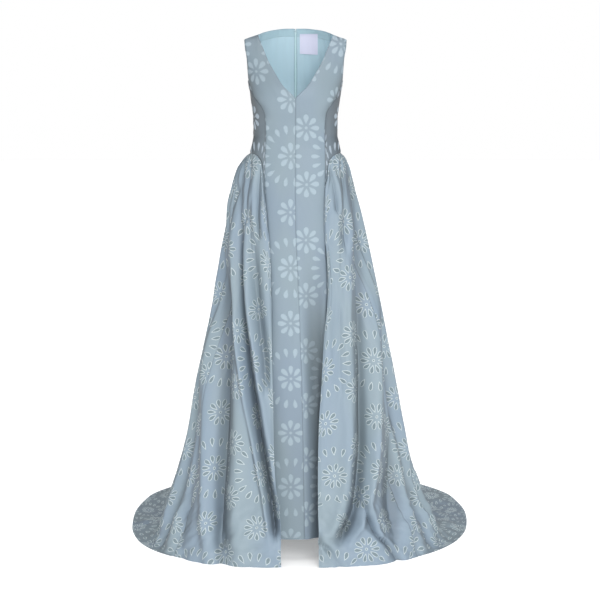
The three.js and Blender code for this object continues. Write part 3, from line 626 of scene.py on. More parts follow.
@dataclass
class Cloth:
    """A cut of cloth: a grid of points of its face, made into a thin shell.

    Its UV map holds the place on the flat cut, in metres. Its seam layer is 1 on a seam, and its
    shade layer holds painted shade, 1 where it darkens the colour most, as in a fold's hollow.
    """

    name: str
    node: str
    points: Array
    flat: Array
    seam: Array
    thickness: float = 1.1
    held: Held = Held.DRAPED
    slot: str = "gown_cloth"
    shade: Array | None = None

    @classmethod
    def cut(
        cls, part: str, side: Side, points: Array, flat: Array, seam: Array, **more: object
    ) -> Cloth:
        """The cut that stands for one side's node of a part.

        Args:
            part: the node's name without its side.
            side: the half of the gown.
            points: places on its face.
            flat: the same places on the flat cut.
            seam: its seam mask.
            more: what differs from a plain draped cut.

        Returns:
            The cut.
        """
        return cls(f"{part}_cloth_{side.tag}", f"{part}_{side.tag}", points, flat, seam, **more)

    def size(self) -> tuple[float, float, float]:
        """Width, length and area of the flat cut.

        Returns:
            The widest row, the longest column and the area, in metres.
        """
        p = self.points * MM
        rows = np.linalg.norm(np.diff(p, axis=1), axis=-1).sum(axis=1)
        columns = np.linalg.norm(np.diff(p, axis=0), axis=-1).sum(axis=0)
        one = np.cross(p[:-1, 1:] - p[:-1, :-1], p[1:, :-1] - p[:-1, :-1])
        two = np.cross(p[:-1, 1:] - p[1:, 1:], p[1:, :-1] - p[1:, 1:])
        area = (np.linalg.norm(one, axis=-1).sum() + np.linalg.norm(two, axis=-1).sum()) / 2
        return float(rows.max()), float(columns.max()), float(area)

    def mesh(self) -> bpy.types.Mesh:
        """The cut's face with its UV map and layers, turned outwards."""
        rows, columns = self.points.shape[:2]
        index = np.arange(rows * columns).reshape(rows, columns)
        corner = [index[:-1, :-1], index[:-1, 1:], index[1:, 1:], index[1:, :-1]]
        quads = np.stack(corner, axis=-1).reshape(-1, 4)
        places = self.points.reshape(-1, 3) * MM
        first = places[quads[:, 0]]
        normals = np.cross(places[quads[:, 1]] - first, places[quads[:, 3]] - first)
        if (normals * (places[quads].mean(axis=1) - self.inside() * MM)).sum() < 0:
            quads = quads[:, ::-1]
        mesh = bpy.data.meshes.new(self.name)
        mesh.from_pydata(places.tolist(), [], quads.tolist())
        uv = mesh.uv_layers.new(name=UV_MAP)
        uv.data.foreach_set("uv", (self.flat.reshape(-1, 2) * MM)[quads.ravel()].ravel())
        shade = np.zeros(self.seam.shape) if self.shade is None else np.clip(self.shade, 0, 1)
        for layer, values in (("seam", self.seam), ("shade", shade)):
            attribute = mesh.attributes.new(layer, "FLOAT", "POINT")
            attribute.data.foreach_set("value", values.ravel().astype(np.float32))
        return mesh

    def inside(self) -> Array:
        """A point inside the gown, well below the cut."""
        return np.array([0.0, 10.0, min(self.points[..., 2].mean(), -200) - 900])

    def make(self, face: bpy.types.Material, reverse: bpy.types.Material) -> None:
        """Args:
            face: finish of the outer face.
            reverse: finish of the inner face.
        """
        mesh = self.mesh()
        mesh.materials.append(face)
        mesh.materials.append(reverse)
        obj = bpy.data.objects.new(self.name, mesh)
        bpy.context.collection.objects.link(obj)
        shell = obj.modifiers.new("shell", "SOLIDIFY")
        shell.thickness = self.thickness * MM
        shell.offset = -1
        shell.material_offset = 1
        shell.material_offset_rim = 0
        finish_mesh(obj, CLOTH_SMOOTH)
        co = np.empty(len(obj.data.vertices) * 3)
        obj.data.vertices.foreach_get("co", co)
        co[2::3] = np.maximum(co[2::3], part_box("overskirt_front_l")[0][2])
        obj.data.vertices.foreach_set("co", co)
        width, length, area = self.size()
        place(obj, "gown", self.slot, self.node)
        LOG.info("%s: flat %.3f x %.3f m, %.3f m2", self.name, width, length, area)


def finish_mesh(obj: bpy.types.Object, angle: float) -> None:
    """Applies an object's modifiers and shades it smooth up to an angle in degrees."""
    bpy.ops.object.select_all(action="DESELECT")
    obj.select_set(True)
    bpy.context.view_layer.objects.active = obj
    for modifier in list(obj.modifiers):
        bpy.ops.object.modifier_apply(modifier=modifier.name)
    bpy.ops.object.shade_smooth_by_angle(angle=math.radians(angle))


def place(obj: bpy.types.Object, body: str, slot: str, *nodes: str) -> None:
    """Rides a piece on a body and hides the nodes that it stands for."""
    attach(obj, body)
    if nodes:
        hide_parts(*nodes)


def row_lengths(p: Array) -> Array:
    """Distance along each row from its first column."""
    steps = np.linalg.norm(np.diff(p, axis=1), axis=-1)
    return np.concatenate([np.zeros((len(p), 1)), np.cumsum(steps, axis=1)], axis=1)


def column_lengths(p: Array) -> Array:
    """Distance along each column from its first row."""
    return row_lengths(p.swapaxes(0, 1)).T


def lay_upright(p: Array, side: Side, start: Array | float) -> Array:
    """Flat places of a panel that hangs straight: across from its inner edge, and its height.

    Args:
        p: the panel's points, by row and column.
        side: the half of the gown.
        start: place across of the first column, one a row or one for all.

    Returns:
        The places, in millimetres.
    """
    across = side.value * (row_lengths(p) + np.reshape(start, (-1, 1)))
    return np.stack([across, p[..., 2]], axis=-1)


def lay_fan(p: Array, side: Side, middle: float) -> Array:
    """Flat places of a gore: rolled out as a fan about the point where its edges would meet.

    Args:
        p: the gore's points, by row and column.
        side: the half of the gown.
        middle: place across of the gore's middle on the flat cloth.

    Returns:
        The places, in millimetres.
    """
    across = row_lengths(p)
    wide = across[:, -1]
    centre = p.shape[1] // 2
    down = column_lengths(p)[:, centre]
    grow = (wide[-1] - wide[0]) / down[-1]
    radius = down + wide[0] / max(grow, LEAST_SPREAD)
    angle = (across - across[:, centre : centre + 1]) / radius[:, None]
    u = side.value * (middle + radius[:, None] * np.sin(angle))
    v = -radius[:, None] * np.cos(angle) + radius[0] - FLAT_TOP
    return np.stack([u, v], axis=-1)


def seam_mask(p: Array, edges: str, reach: float = 5) -> Array:
    """1 on the given edges of a grid, fading out over a reach.

    Args:
        p: the points, by row and column.
        edges: any of start, end, top and bottom.
        reach: distance over which the mask fades, in millimetres.

    Returns:
        The mask, one value a point.
    """
    across, down = row_lengths(p), column_lengths(p)
    far = {
        "start": across,
        "end": across[:, -1:] - across,
        "top": down,
        "bottom": down[-1:] - down,
    }
    mask = np.zeros(p.shape[:2])
    for edge in edges.split():
        mask = np.maximum(mask, np.clip(1 - far[edge] / reach, 0, 1))
    return mask


def edge_lines(count: int) -> Array:
    """Shares from 0 to 1 that lie closer together near both ends."""
    t = np.linspace(-1, 1, count)
    return 0.5 + 0.5 * np.sign(t) * (1 - (1 - np.abs(t)) ** 1.5)


# ------------------------------------------------------------------ shader maths and finishes


class Value:
    """A number socket on which Python's operators add Math nodes."""

    def __init__(self, graph: Graph, socket: bpy.types.NodeSocket) -> None:
        """Wraps an output socket of a graph."""
        self.graph = graph
        self.socket = socket

    def math(self, operation: str, *others: Value | float) -> Value:
        """Adds a Math node that starts from this value.

        Args:
            operation: the node's operation.
            others: its other inputs, in order.

        Returns:
            The node's result.
        """
        inputs = dict(enumerate((self, *others)))
        return self.graph.node("ShaderNodeMath", {"operation": operation}, inputs)

    def __add__(self, other: Value | float) -> Value:
        """The sum."""
        return self.math("ADD", other)

    __radd__ = __add__

    def __mul__(self, other: Value | float) -> Value:
        """The product."""
        return self.math("MULTIPLY", other)

    __rmul__ = __mul__

    def __sub__(self, other: Value | float) -> Value:
        """The difference."""
        return self.math("SUBTRACT", other)

    def __rsub__(self, other: float) -> Value:
        """A number less this value."""
        return self.graph.node("ShaderNodeMath", {"operation": "SUBTRACT"}, {0: other, 1: self})

    def __truediv__(self, other: Value | float) -> Value:
        """The quotient."""
        return self.math("DIVIDE", other)

    def __pow__(self, other: float) -> Value:
        """The power."""
        return self.math("POWER", other)

    def __abs__(self) -> Value:
        """The size without its sign."""
        return self.math("ABSOLUTE")

    def step(self, low: float, high: float) -> Value:
        """0 below low and 1 above high, with a smooth step between them."""
        inputs = {"Value": self, "From Min": low, "From Max": high}
        settings = {"interpolation_type": "SMOOTHSTEP"}
        return self.graph.node("ShaderNodeMapRange", settings, inputs)


class Graph:
    """The nodes of one material."""

    def __init__(self, name: str) -> None:
        """Starts a material with nothing but its output."""
        self.material = bpy.data.materials.new(name)
        self.material.use_nodes = True
        self.tree = self.material.node_tree
        self.tree.nodes.clear()

    def node(
        self, kind: str, settings: dict, inputs: dict | None = None, output: int | str = 0
    ) -> Value:
        """Adds any node.

        Args:
            kind: the node's type.
            settings: its own settings.
            inputs: values or links for its sockets, by name or number.
            output: the socket to return.

        Returns:
            One of its outputs.
        """
        made = self.tree.nodes.new(kind)
        for key, value in settings.items():
            setattr(made, key, value)
        for key, value in (inputs or {}).items():
            if isinstance(value, Value):
                self.tree.links.new(value.socket, made.inputs[key])
            else:
                made.inputs[key].default_value = value
        return Value(self, made.outputs[output])

    def blend(
        self, factor: Value | float, a: Value | tuple, b: Value | tuple, kind: str = "MIX"
    ) -> Value:
        """A mix of two colours."""
        a, b = (c if isinstance(c, Value) else (*c, 1) for c in (a, b))
        settings = {"data_type": "RGBA", "blend_type": kind}
        return self.node("ShaderNodeMix", settings, {0: factor, 6: a, 7: b}, 2)

    def shade(self, factor: Value, colour: Value | tuple) -> Value:
        """A colour times a number."""
        grey = self.node("ShaderNodeCombineColor", {}, {0: factor, 1: factor, 2: factor})
        return self.blend(1.0, colour, grey, "MULTIPLY")

    def place(self) -> tuple[Value, Value]:
        """Both coordinates of the flat cloth, in metres."""
        uv = self.node("ShaderNodeUVMap", {"uv_map": UV_MAP})
        return tuple(self.node("ShaderNodeSeparateXYZ", {}, {0: uv}, axis) for axis in (0, 1))

    def layer(self, name: str) -> Value:
        """A layer of the cloth: seam or shade."""
        return self.node("ShaderNodeAttribute", {"attribute_name": name}, {}, "Fac")

    def noise(self, u: Value, v: Value, scale: tuple[float, float], detail: float = 2) -> Value:
        """Noise over the flat cloth with its own scale each way, from 0 to 1."""
        at = self.node("ShaderNodeCombineXYZ", {}, {0: u * scale[0], 1: v * scale[1]})
        inputs = {"Vector": at, "Scale": 1.0, "Detail": detail}
        return self.node("ShaderNodeTexNoise", {"noise_dimensions": "2D"}, inputs)

    def grain(self, scale: float, detail: float) -> Value:
        """Noise in the piece's own space, from 0 to 1."""
        where = self.node("ShaderNodeTexCoord", {}, {}, "Object")
        inputs = {"Vector": where, "Scale": scale, "Detail": detail}
        return self.node("ShaderNodeTexNoise", {}, inputs)

    def bump(self, strength: float, distance: float, height: Value) -> Value:
        """Normals of a relief that is a distance high, in metres."""
        inputs = {"Strength": strength, "Distance": distance, "Height": height}
        return self.node("ShaderNodeBump", {}, inputs)

    def finish(self, inputs: dict) -> bpy.types.Material:
        """Ends the material in one Principled shader.

        Args:
            inputs: values or links for the shader's sockets, by name.

        Returns:
            The material.
        """
        shader = self.node("ShaderNodeBsdfPrincipled", {}, inputs)
        output = self.tree.nodes.new("ShaderNodeOutputMaterial")
        self.tree.links.new(shader.socket, output.inputs["Surface"])
        return self.material


def linear(*levels: int) -> tuple[float, ...]:
    """A screen colour, 0 to 255, as the linear colour that a shader takes."""
    return tuple(
        c / 12.92 if c <= 0.04045 else ((c + 0.055) / 1.055) ** 2.4
        for c in (level / 255 for level in levels)
    )


@dataclass(frozen=True)
class Petals:
    """A round of petals about a point of the cloth, in metres."""

    count: int
    inner: float
    outer: float
    width: float

    def reach(self, u: Value, v: Value) -> Value:
        """How far inside a petal each place lies, below zero outside them all."""
        radius = (u * u + v * v) ** 0.5
        turns = v.math("ARCTAN2", u) * (self.count / TAU)
        part = (turns - turns.math("ROUND")) * (TAU / self.count)
        share = (radius * part.math("COSINE") - self.inner) / (self.outer - self.inner)
        share = share.math("MAXIMUM", 0.0).math("MINIMUM", 1.0)
        half = share**1.1 * (1 - share) ** 0.5 * (self.width * 1.355)
        return half - abs(radius * part.math("SINE"))


@dataclass(frozen=True)
class Motif:
    """The woven pattern: daisies in a half-drop, with a ring of petals round every other one."""

    across: float = 0.222
    down: float = 0.352
    daisy: Petals = Petals(10, 0.0125, 0.042, 0.015)
    ring: Petals = Petals(18, 0.066, 0.0965, 0.0148)
    dot: float = 0.0052

    def reach(self, u: Value, v: Value, scale: float) -> Value:
        """How far inside the motif each place lies, in metres of the pattern.

        Args:
            u: places across the flat cloth.
            v: places down it.
            scale: size of the motif against its tables.

        Returns:
            The distance, below zero outside the motif.
        """
        u, v = u / scale, v / scale

        def fold(value: Value, period: float, shift: float = 0) -> Value:
            """The place within one repeat, from its middle."""
            turn = (value - shift) / period
            return (turn - turn.math("ROUND")) * period

        first = fold(u, self.across), fold(v, self.down / 2)
        second = fold(u, self.across, self.across / 2), fold(v, self.down / 2, self.down / 4)
        ring = self.ring.reach(first[0], fold(v, self.down))
        found = ring
        for x, y in (first, second):
            middle = self.dot - (x * x + y * y) ** 0.5
            found = found.math("MAXIMUM", self.daisy.reach(x, y)).math("MAXIMUM", middle)
        return found


@dataclass(frozen=True)
class SatinFinish:
    """Satin-faced organza with woven petals.

    ground and second are the cloth's two tones, rim the petals' edge and core the colour of their
    sheer middle: the lining behind it where lined, and elsewhere painted shade of the hollow
    behind it. The ground also darkens with painted shade where the cloth turns from the view.
    """

    name: str
    ground: tuple[float, ...] = linear(135, 152, 167)
    second: tuple[float, ...] = linear(139, 155, 164)
    rim: tuple[float, ...] = linear(190, 201, 204)
    # Colour of the petals' sheer middle; here painted shade of the hollow seen through it.
    core: tuple[float, ...] = linear(118, 134, 141)
    rim_width: float = 0.0024
    scale: float = 1.0
    strength: float = 1.0
    roughness: float = 0.5
    # Painted shade: how far the ground darkens where the cloth turns away from the view.
    turned: float = 0.5
    shift: tuple[float, float] = (0.0, 0.0)
    motif: Motif = Motif()

    def build(self) -> bpy.types.Material:
        """Makes the material."""
        graph = Graph(self.name)
        u, v = graph.place()
        drift = graph.noise(u, v, (26, 26), 1) - 0.5
        across, down = u + drift * 0.005 + self.shift[0], v - drift * 0.005 + self.shift[1]
        reach = self.motif.reach(across, down, self.scale)
        petal = reach.step(0.0001, 0.0008)
        core = reach.step(self.rim_width, self.rim_width + 0.0007)
        tone = graph.noise(u, v, (5, 2.2), 2).step(0.35, 0.65)
        slub = graph.noise(u, v, (90, 900), 2)
        facing = graph.node("ShaderNodeLayerWeight", {}, {"Blend": 0.5}, "Facing")
        ground = graph.blend(tone, self.ground, self.second)
        # Painted shade darkens the ground where the cloth turns away from the view.
        ground = graph.shade(1 - facing.step(0.1, 0.9) * self.turned, ground)
        broken = graph.noise(u, v, (300, 300), 2).step(0.25, 0.65) * 0.45 + 0.55
        colour = graph.blend(petal * broken * self.strength, ground, self.rim)
        # Sheer middles: painted shade of the hollow behind on the overskirt, the lining behind
        # elsewhere.
        colour = graph.blend(core * self.strength, colour, self.core)
        worn = 0.97 + slub * 0.06 - graph.layer("seam").step(0.45, 1.0) * 0.24
        # The shade layer darkens the colour with painted shade.
        colour = graph.shade(worn - graph.layer("shade") * 0.55, colour)
        rough = self.roughness + petal * 0.14 + (slub - 0.5) * 0.1
        weave = (u * 4200).math("SINE") * 0.5 + (v * 4200).math("SINE") * 0.5
        height = weave * 0.06 + slub * 0.25 + petal - core * 0.8
        return graph.finish(
            {
                "Base Color": colour,
                "Roughness": rough,
                "Normal": graph.bump(0.5, 0.0004, height),
                "Specular IOR Level": 0.32,
                "Sheen Weight": 0.08,
                "Sheen Roughness": 0.45,
                "Sheen Tint": (0.8, 0.9, 1.0, 1.0),
            }
        )


@dataclass(frozen=True)
class PlainCloth:
    """A plain woven cloth: lining, reverse, tape or ribbon."""

    name: str
    colour: tuple[float, ...]
    roughness: float = 0.55
    rib: float = 2600
    wrinkle: float = 0.06

    def build(self) -> bpy.types.Material:
        """Makes the material."""
        graph = Graph(self.name)
        u, v = graph.place()
        rib = (v * self.rib).math("SINE") * 0.5 + (u * self.rib).math("SINE") * 0.3
        streak = graph.noise(u, v, (60, 8), 3)
        worn = 1 - self.wrinkle / 2 + streak * self.wrinkle
        worn = worn - graph.layer("seam").step(0.3, 1.0) * 0.18
        return graph.finish(
            {
                "Base Color": graph.shade(worn, self.colour),
                "Roughness": self.roughness + (streak - 0.5) * 0.1,
                "Normal": graph.bump(0.4, 0.0002, rib * 0.3 + streak),
                "Specular IOR Level": 0.35,
                "Sheen Weight": 0.15,
            }
        )


@dataclass(frozen=True)
class EnamelFinish:
    """Metal enamelled to match the cloth. worn is the colour of its rubbed spots."""

    name: str
    colour: tuple[float, ...]
    metallic: float
    worn: tuple[float, ...] = linear(220, 232, 236)

    def build(self) -> bpy.types.Material:
        """Makes the material."""
        graph = Graph(self.name)
        grain = graph.grain(900.0, 3.0)
        return graph.finish(
            {
                "Base Color": graph.blend(grain.step(0.55, 0.8), self.colour, self.worn),
                "Roughness": 0.28 + grain * 0.14,
                "Normal": graph.bump(0.2, 0.0001, grain),
                "Metallic": self.metallic,
            }
        )


class Wardrobe:
    """The gown's finishes, each made once."""

    def __init__(self) -> None:
        """Makes every finish."""
        broad = Motif(daisy=Petals(8, 0.0105, 0.0415, 0.0172))
        self.skirt = SatinFinish("skirt_satin").build()
        self.column = SatinFinish(
            "column_satin",
            ground=linear(131, 147, 161),
            second=linear(135, 151, 160),
            rim=linear(163, 179, 189),
            core=linear(158, 175, 186),
            scale=0.98,
            strength=0.7,
            shift=(0.045, 0.03),
            motif=broad,
        ).build()
        # Side panels: darker for their other grain and for painted shade, more of it at grazing
        # views.
        self.side_panel = SatinFinish(
            "side_panel_satin",
            ground=linear(111, 123, 134),
            second=linear(115, 127, 134),
            rim=linear(166, 179, 190),
            core=linear(160, 174, 186),
            scale=0.98,
            strength=0.8,
            turned=0.66,
            shift=(0.1, 0.08),
            motif=broad,
        ).build()
        self.under = PlainCloth("skirt_reverse", linear(118, 138, 146), 0.6).build()
        self.lining = PlainCloth("aqua_lining", linear(178, 206, 218), 0.42, wrinkle=0.08).build()
        self.facing = PlainCloth("facing_satin", linear(170, 199, 210), 0.5).build()
        self.tape = PlainCloth("zip_tape_weave", linear(150, 184, 194), 0.6, rib=5200).build()
        self.ribbon = PlainCloth("label_ribbon", linear(216, 217, 238), 0.45, rib=3800).build()
        self.enamel = EnamelFinish("enamelled_metal", linear(196, 220, 226), 0.3).build()
        self.teeth = EnamelFinish("zip_coil", linear(208, 238, 242), 0.0).build()


# ------------------------------------------------------------------ the sub-assemblies


@dataclass
class Bodice:
    """The front panels from shoulder to hem, and the bodice's side and back panels.

    Each grid gives a panel's rows and columns of points. seam_roll is how far the seams lie in,
    shoulder_blend the height over which the front's rows turn level, and dip how far its right
    half sinks between its seams towards the hem, where painted shade darkens it as well.
    """

    front_grid: tuple[int, int] = (330, 44)
    side_front_grid: tuple[int, int] = (96, 34)
    side_back_grid: tuple[int, int] = (96, 30)
    back_grid: tuple[int, int] = (130, 40)
    seam_roll: float = 1.5
    shoulder_blend: float = 110
    dip: float = 15

    def front(self, side: Side) -> Cloth:
        """Centre front: the shoulder seam, the V neck and armhole, then both long seams."""
        rows, columns = self.front_grid
        across = edge_lines(columns)[None, :]
        height = np.linspace(-SHOULDER_DROP - 0.01, COLUMN_HEM, rows)[:, None]
        rise = SHOULDER_DROP * np.clip(1 + (height + SHOULDER_DROP) / self.shoulder_blend, 0, 1)
        z = height + rise * (1 - across)
        outer = np.where(z > PRINCESS_TOP, ARMHOLE.at("x", z), PRINCESS.at(side.column, z))
        neck = V_NECK.at("x", height + rise)
        seam_x = side.value * CENTRE_FRONT.at("x", z)
        x = mix(np.where(height > V_POINT, neck, seam_x), outer, across)
        p = FORM.point(side, FORM.turn_at(np.abs(x), z), z)
        p[..., 0] *= np.where(x < 0, -1, 1)
        dip = ease((x - seam_x) / 42) * (1 - 0.8 * ease((across - 0.75) / 0.25))
        dip = dip * below(z, -640, 420) * (side is Side.RIGHT)
        p[..., 1] += self.dip * dip
        seam = seam_mask(p, "start end")
        p = self.dress(p, side, seam, seed=61)
        # Painted shade by the armhole, on the upper front, low on the column and in the right
        # half's dip.
        inwards = row_lengths(p)[:, -1:] - row_lengths(p)
        shade = np.exp(-((inwards / 19) ** 2)) * below(z, -75, 70) * above(z, -285, 60)
        # Painted shade on the upper front, stronger on the left.
        chest_shade = 0.3 if side is Side.LEFT else 0.12
        shade = 0.5 * shade + chest_shade * above(z, -210, 80) * (1 - 0.6 * across)
        shade = np.maximum(shade + 0.2 * below(z, -950, 450), 0.92 * dip)
        flat = lay_upright(p, side, x[:, 0] + 30)
        return Cloth.cut("front_centre", side, p, flat, seam, shade=shade)

    def dress(self, p: Array, side: Side, seam: Array, seed: int) -> Array:
        """Rolls the seams in and adds the soft unevenness of worn cloth.

        Args:
            p: the panel's points.
            side: the half of the gown.
            seam: its seam mask.
            seed: number that chooses the relief, another on each side.

        Returns:
            The moved points.
        """
        seed += side.value
        out = np.stack([p[..., 0], p[..., 1], np.where(p[..., 2] > UNDERARM, 60.0, 0.0)], -1)
        n = grid_normals(p, out)
        u, z = row_lengths(p), p[..., 2]
        relief = smooth_noise(u, z, 90, seed, 3) * 0.9
        drag = smooth_noise(u + z * 0.35, z, 34, seed + 7, 5) * 0.35
        strain = smooth_noise(z, u, 30, seed + 3, 4) * 0.5
        strain = strain * above(z, -430, 120) * below(z, -200, 60)
        move = (relief + drag + strain) * (1 - seam)
        return p + n * (move - self.seam_roll * seam)[..., None]

    def side_front(self, side: Side) -> Cloth:
        """Side front: from the princess seam to the side seam and the curved hip seam."""
        first, last = PRINCESS_TOP - 4, HIP_FRONT + 4
        rows, columns = self.side_front_grid
        down = np.linspace(0, 1, rows)[:, None]
        across = edge_lines(columns)[None, :]
        top = mix(first, UNDERARM, ease(across))
        front = FORM.princess_turn(side, np.float64(HIP_FRONT))
        hip = FORM.hip_seam(side, mix(front, SIDE_TURN, across))
        bottom = np.where(across > 0, np.minimum(hip, HIP_SIDE), last)
        z = mix(top, bottom, down)
        p = FORM.point(side, mix(FORM.princess_turn(side, z), SIDE_TURN, across), z)
        seam = seam_mask(p, "start end bottom")
        p = self.dress(p, side, seam, seed=71)
        # Painted shade beside the princess seam, above the hip.
        shade = 0.42 * np.exp(-((row_lengths(p) / 24) ** 2)) * above(z, -400, 60)
        flat = lay_upright(p, side, 20)
        return Cloth.cut("side_front", side, p, flat, seam, shade=shade)

    def back(self, side: Side) -> Cloth:
        """Back: from the zip to the armhole and the side-back seam."""
        rows, columns = self.back_grid
        across = mix(0.006, 1, edge_lines(columns))[None, :]
        down = (np.linspace(0, 1, rows) ** 1.15)[:, None]
        p = FORM.back_cell(side, across, down)
        seam = seam_mask(p, "start end bottom")
        p = self.dress(p, side, seam, seed=81)
        return Cloth.cut("back", side, p, lay_upright(p, side, 2), seam)

    def side_back(self, side: Side) -> Cloth:
        """Side back: from the side-back seam to the side seam."""
        rows, columns = self.side_back_grid
        down = np.linspace(BACK_CORNER, 1, rows)[:, None]
        across = edge_lines(columns)[None, :]
        edge = FORM.back_cell(side, np.float64(1), down)[..., 2]
        share = (down - BACK_CORNER) / (1 - BACK_CORNER)
        turn = mix(FORM.back_turn(np.float64(SIDE_BACK_X), np.float64(HIP_BACK)), SIDE_TURN, across)
        curve = np.sqrt(across) * 0.35 + across * 0.65
        inner = mix(mix(edge, UNDERARM, curve), FORM.back_hip(turn), share)
        z = np.where(across > 0, inner, edge)
        start = FORM.back_turn(FORM.side_back_x(z), z)
        p = FORM.point(side, mix(start, SIDE_TURN, across), z)
        seam = seam_mask(p, "start end bottom")
        p = self.dress(p, side, seam, seed=91)
        return Cloth.cut("side_back", side, p, lay_upright(p, side, 15), seam)

    def build(self, wardrobe: Wardrobe) -> None:
        """Makes every panel on both sides."""
        for side in Side:
            self.front(side).make(wardrobe.column, wardrobe.lining)
            self.side_front(side).make(wardrobe.side_panel, wardrobe.lining)
            self.side_back(side).make(wardrobe.side_panel, wardrobe.lining)
            self.back(side).make(wardrobe.column, wardrobe.lining)


@dataclass(frozen=True)
class Strip:
    """A strip of the column between two shares of the way round its side or back."""

    part: str
    start: float
    end: float
    behind: bool = False


@dataclass
class Column:
    """The column's hidden side and back panels.

    tuck is how far their tops lie inside the hip seam.
    """

    tuck: float = 3.6
    rows: int = 110
    columns: int = 22
    strips: tuple[Strip, ...] = (
        Strip("column_side_front", 0, 0.28),
        Strip("column_side", 0.28, 0.64),
        Strip("column_side_rear", 0.64, 1),
        Strip("column_back", 0, 1, behind=True),
    )

    def panel(self, side: Side, strip: Strip) -> Cloth:
        """One strip of the column.

        Args:
            side: the half of the gown.
            strip: which strip it is.

        Returns:
            The cut of cloth.
        """
        across = mix(strip.start, strip.end, edge_lines(self.columns))[None, :]
        down = np.linspace(0, 1, self.rows)[:, None]
        front = FORM.princess_turn(side, np.float64(HIP_FRONT))
        if strip.behind:
            turn = mix(SIDE_TURN, BACK_TURN, across) + 0 * down
            z = mix(FORM.hip_seam(side, turn) - 1, COLUMN_HEM, down)
        else:
            hip = FORM.hip_seam(side, mix(front, SIDE_TURN, across)) - 1
            z = mix(np.where(across > 0, hip, HIP_FRONT - 1), COLUMN_HEM, down)
            turn = mix(FORM.princess_turn(side, z), SIDE_TURN, across)
        p = FORM.point(side, turn, z)
        n = grid_normals(p, p * np.array([1, 1, 0]))
        inward = self.tuck * (1 - below(z, HIP_FRONT, 200))
        sway = smooth_noise(row_lengths(p), z, 120, 40 + side.value, 5) * below(z, -460, 200)
        seam = seam_mask(p, "start end")
        p = p + n * (sway * (1 - seam) - inward - seam)[..., None]
        return Cloth.cut(strip.part, side, p, lay_upright(p, side, 10), seam, held=Held.HUNG)

    def build(self, wardrobe: Wardrobe) -> None:
        """Makes every strip on both sides."""
        for side in Side:
            for strip in self.strips:
                self.panel(side, strip).make(wardrobe.column, wardrobe.under)


@dataclass(frozen=True)
class Gore:
    """A gore between two places round the overskirt.

    columns is how many columns of points it has, and middle its middle's place on the flat cloth.
    """

    part: str
    start: float
    end: float
    columns: int
    middle: float


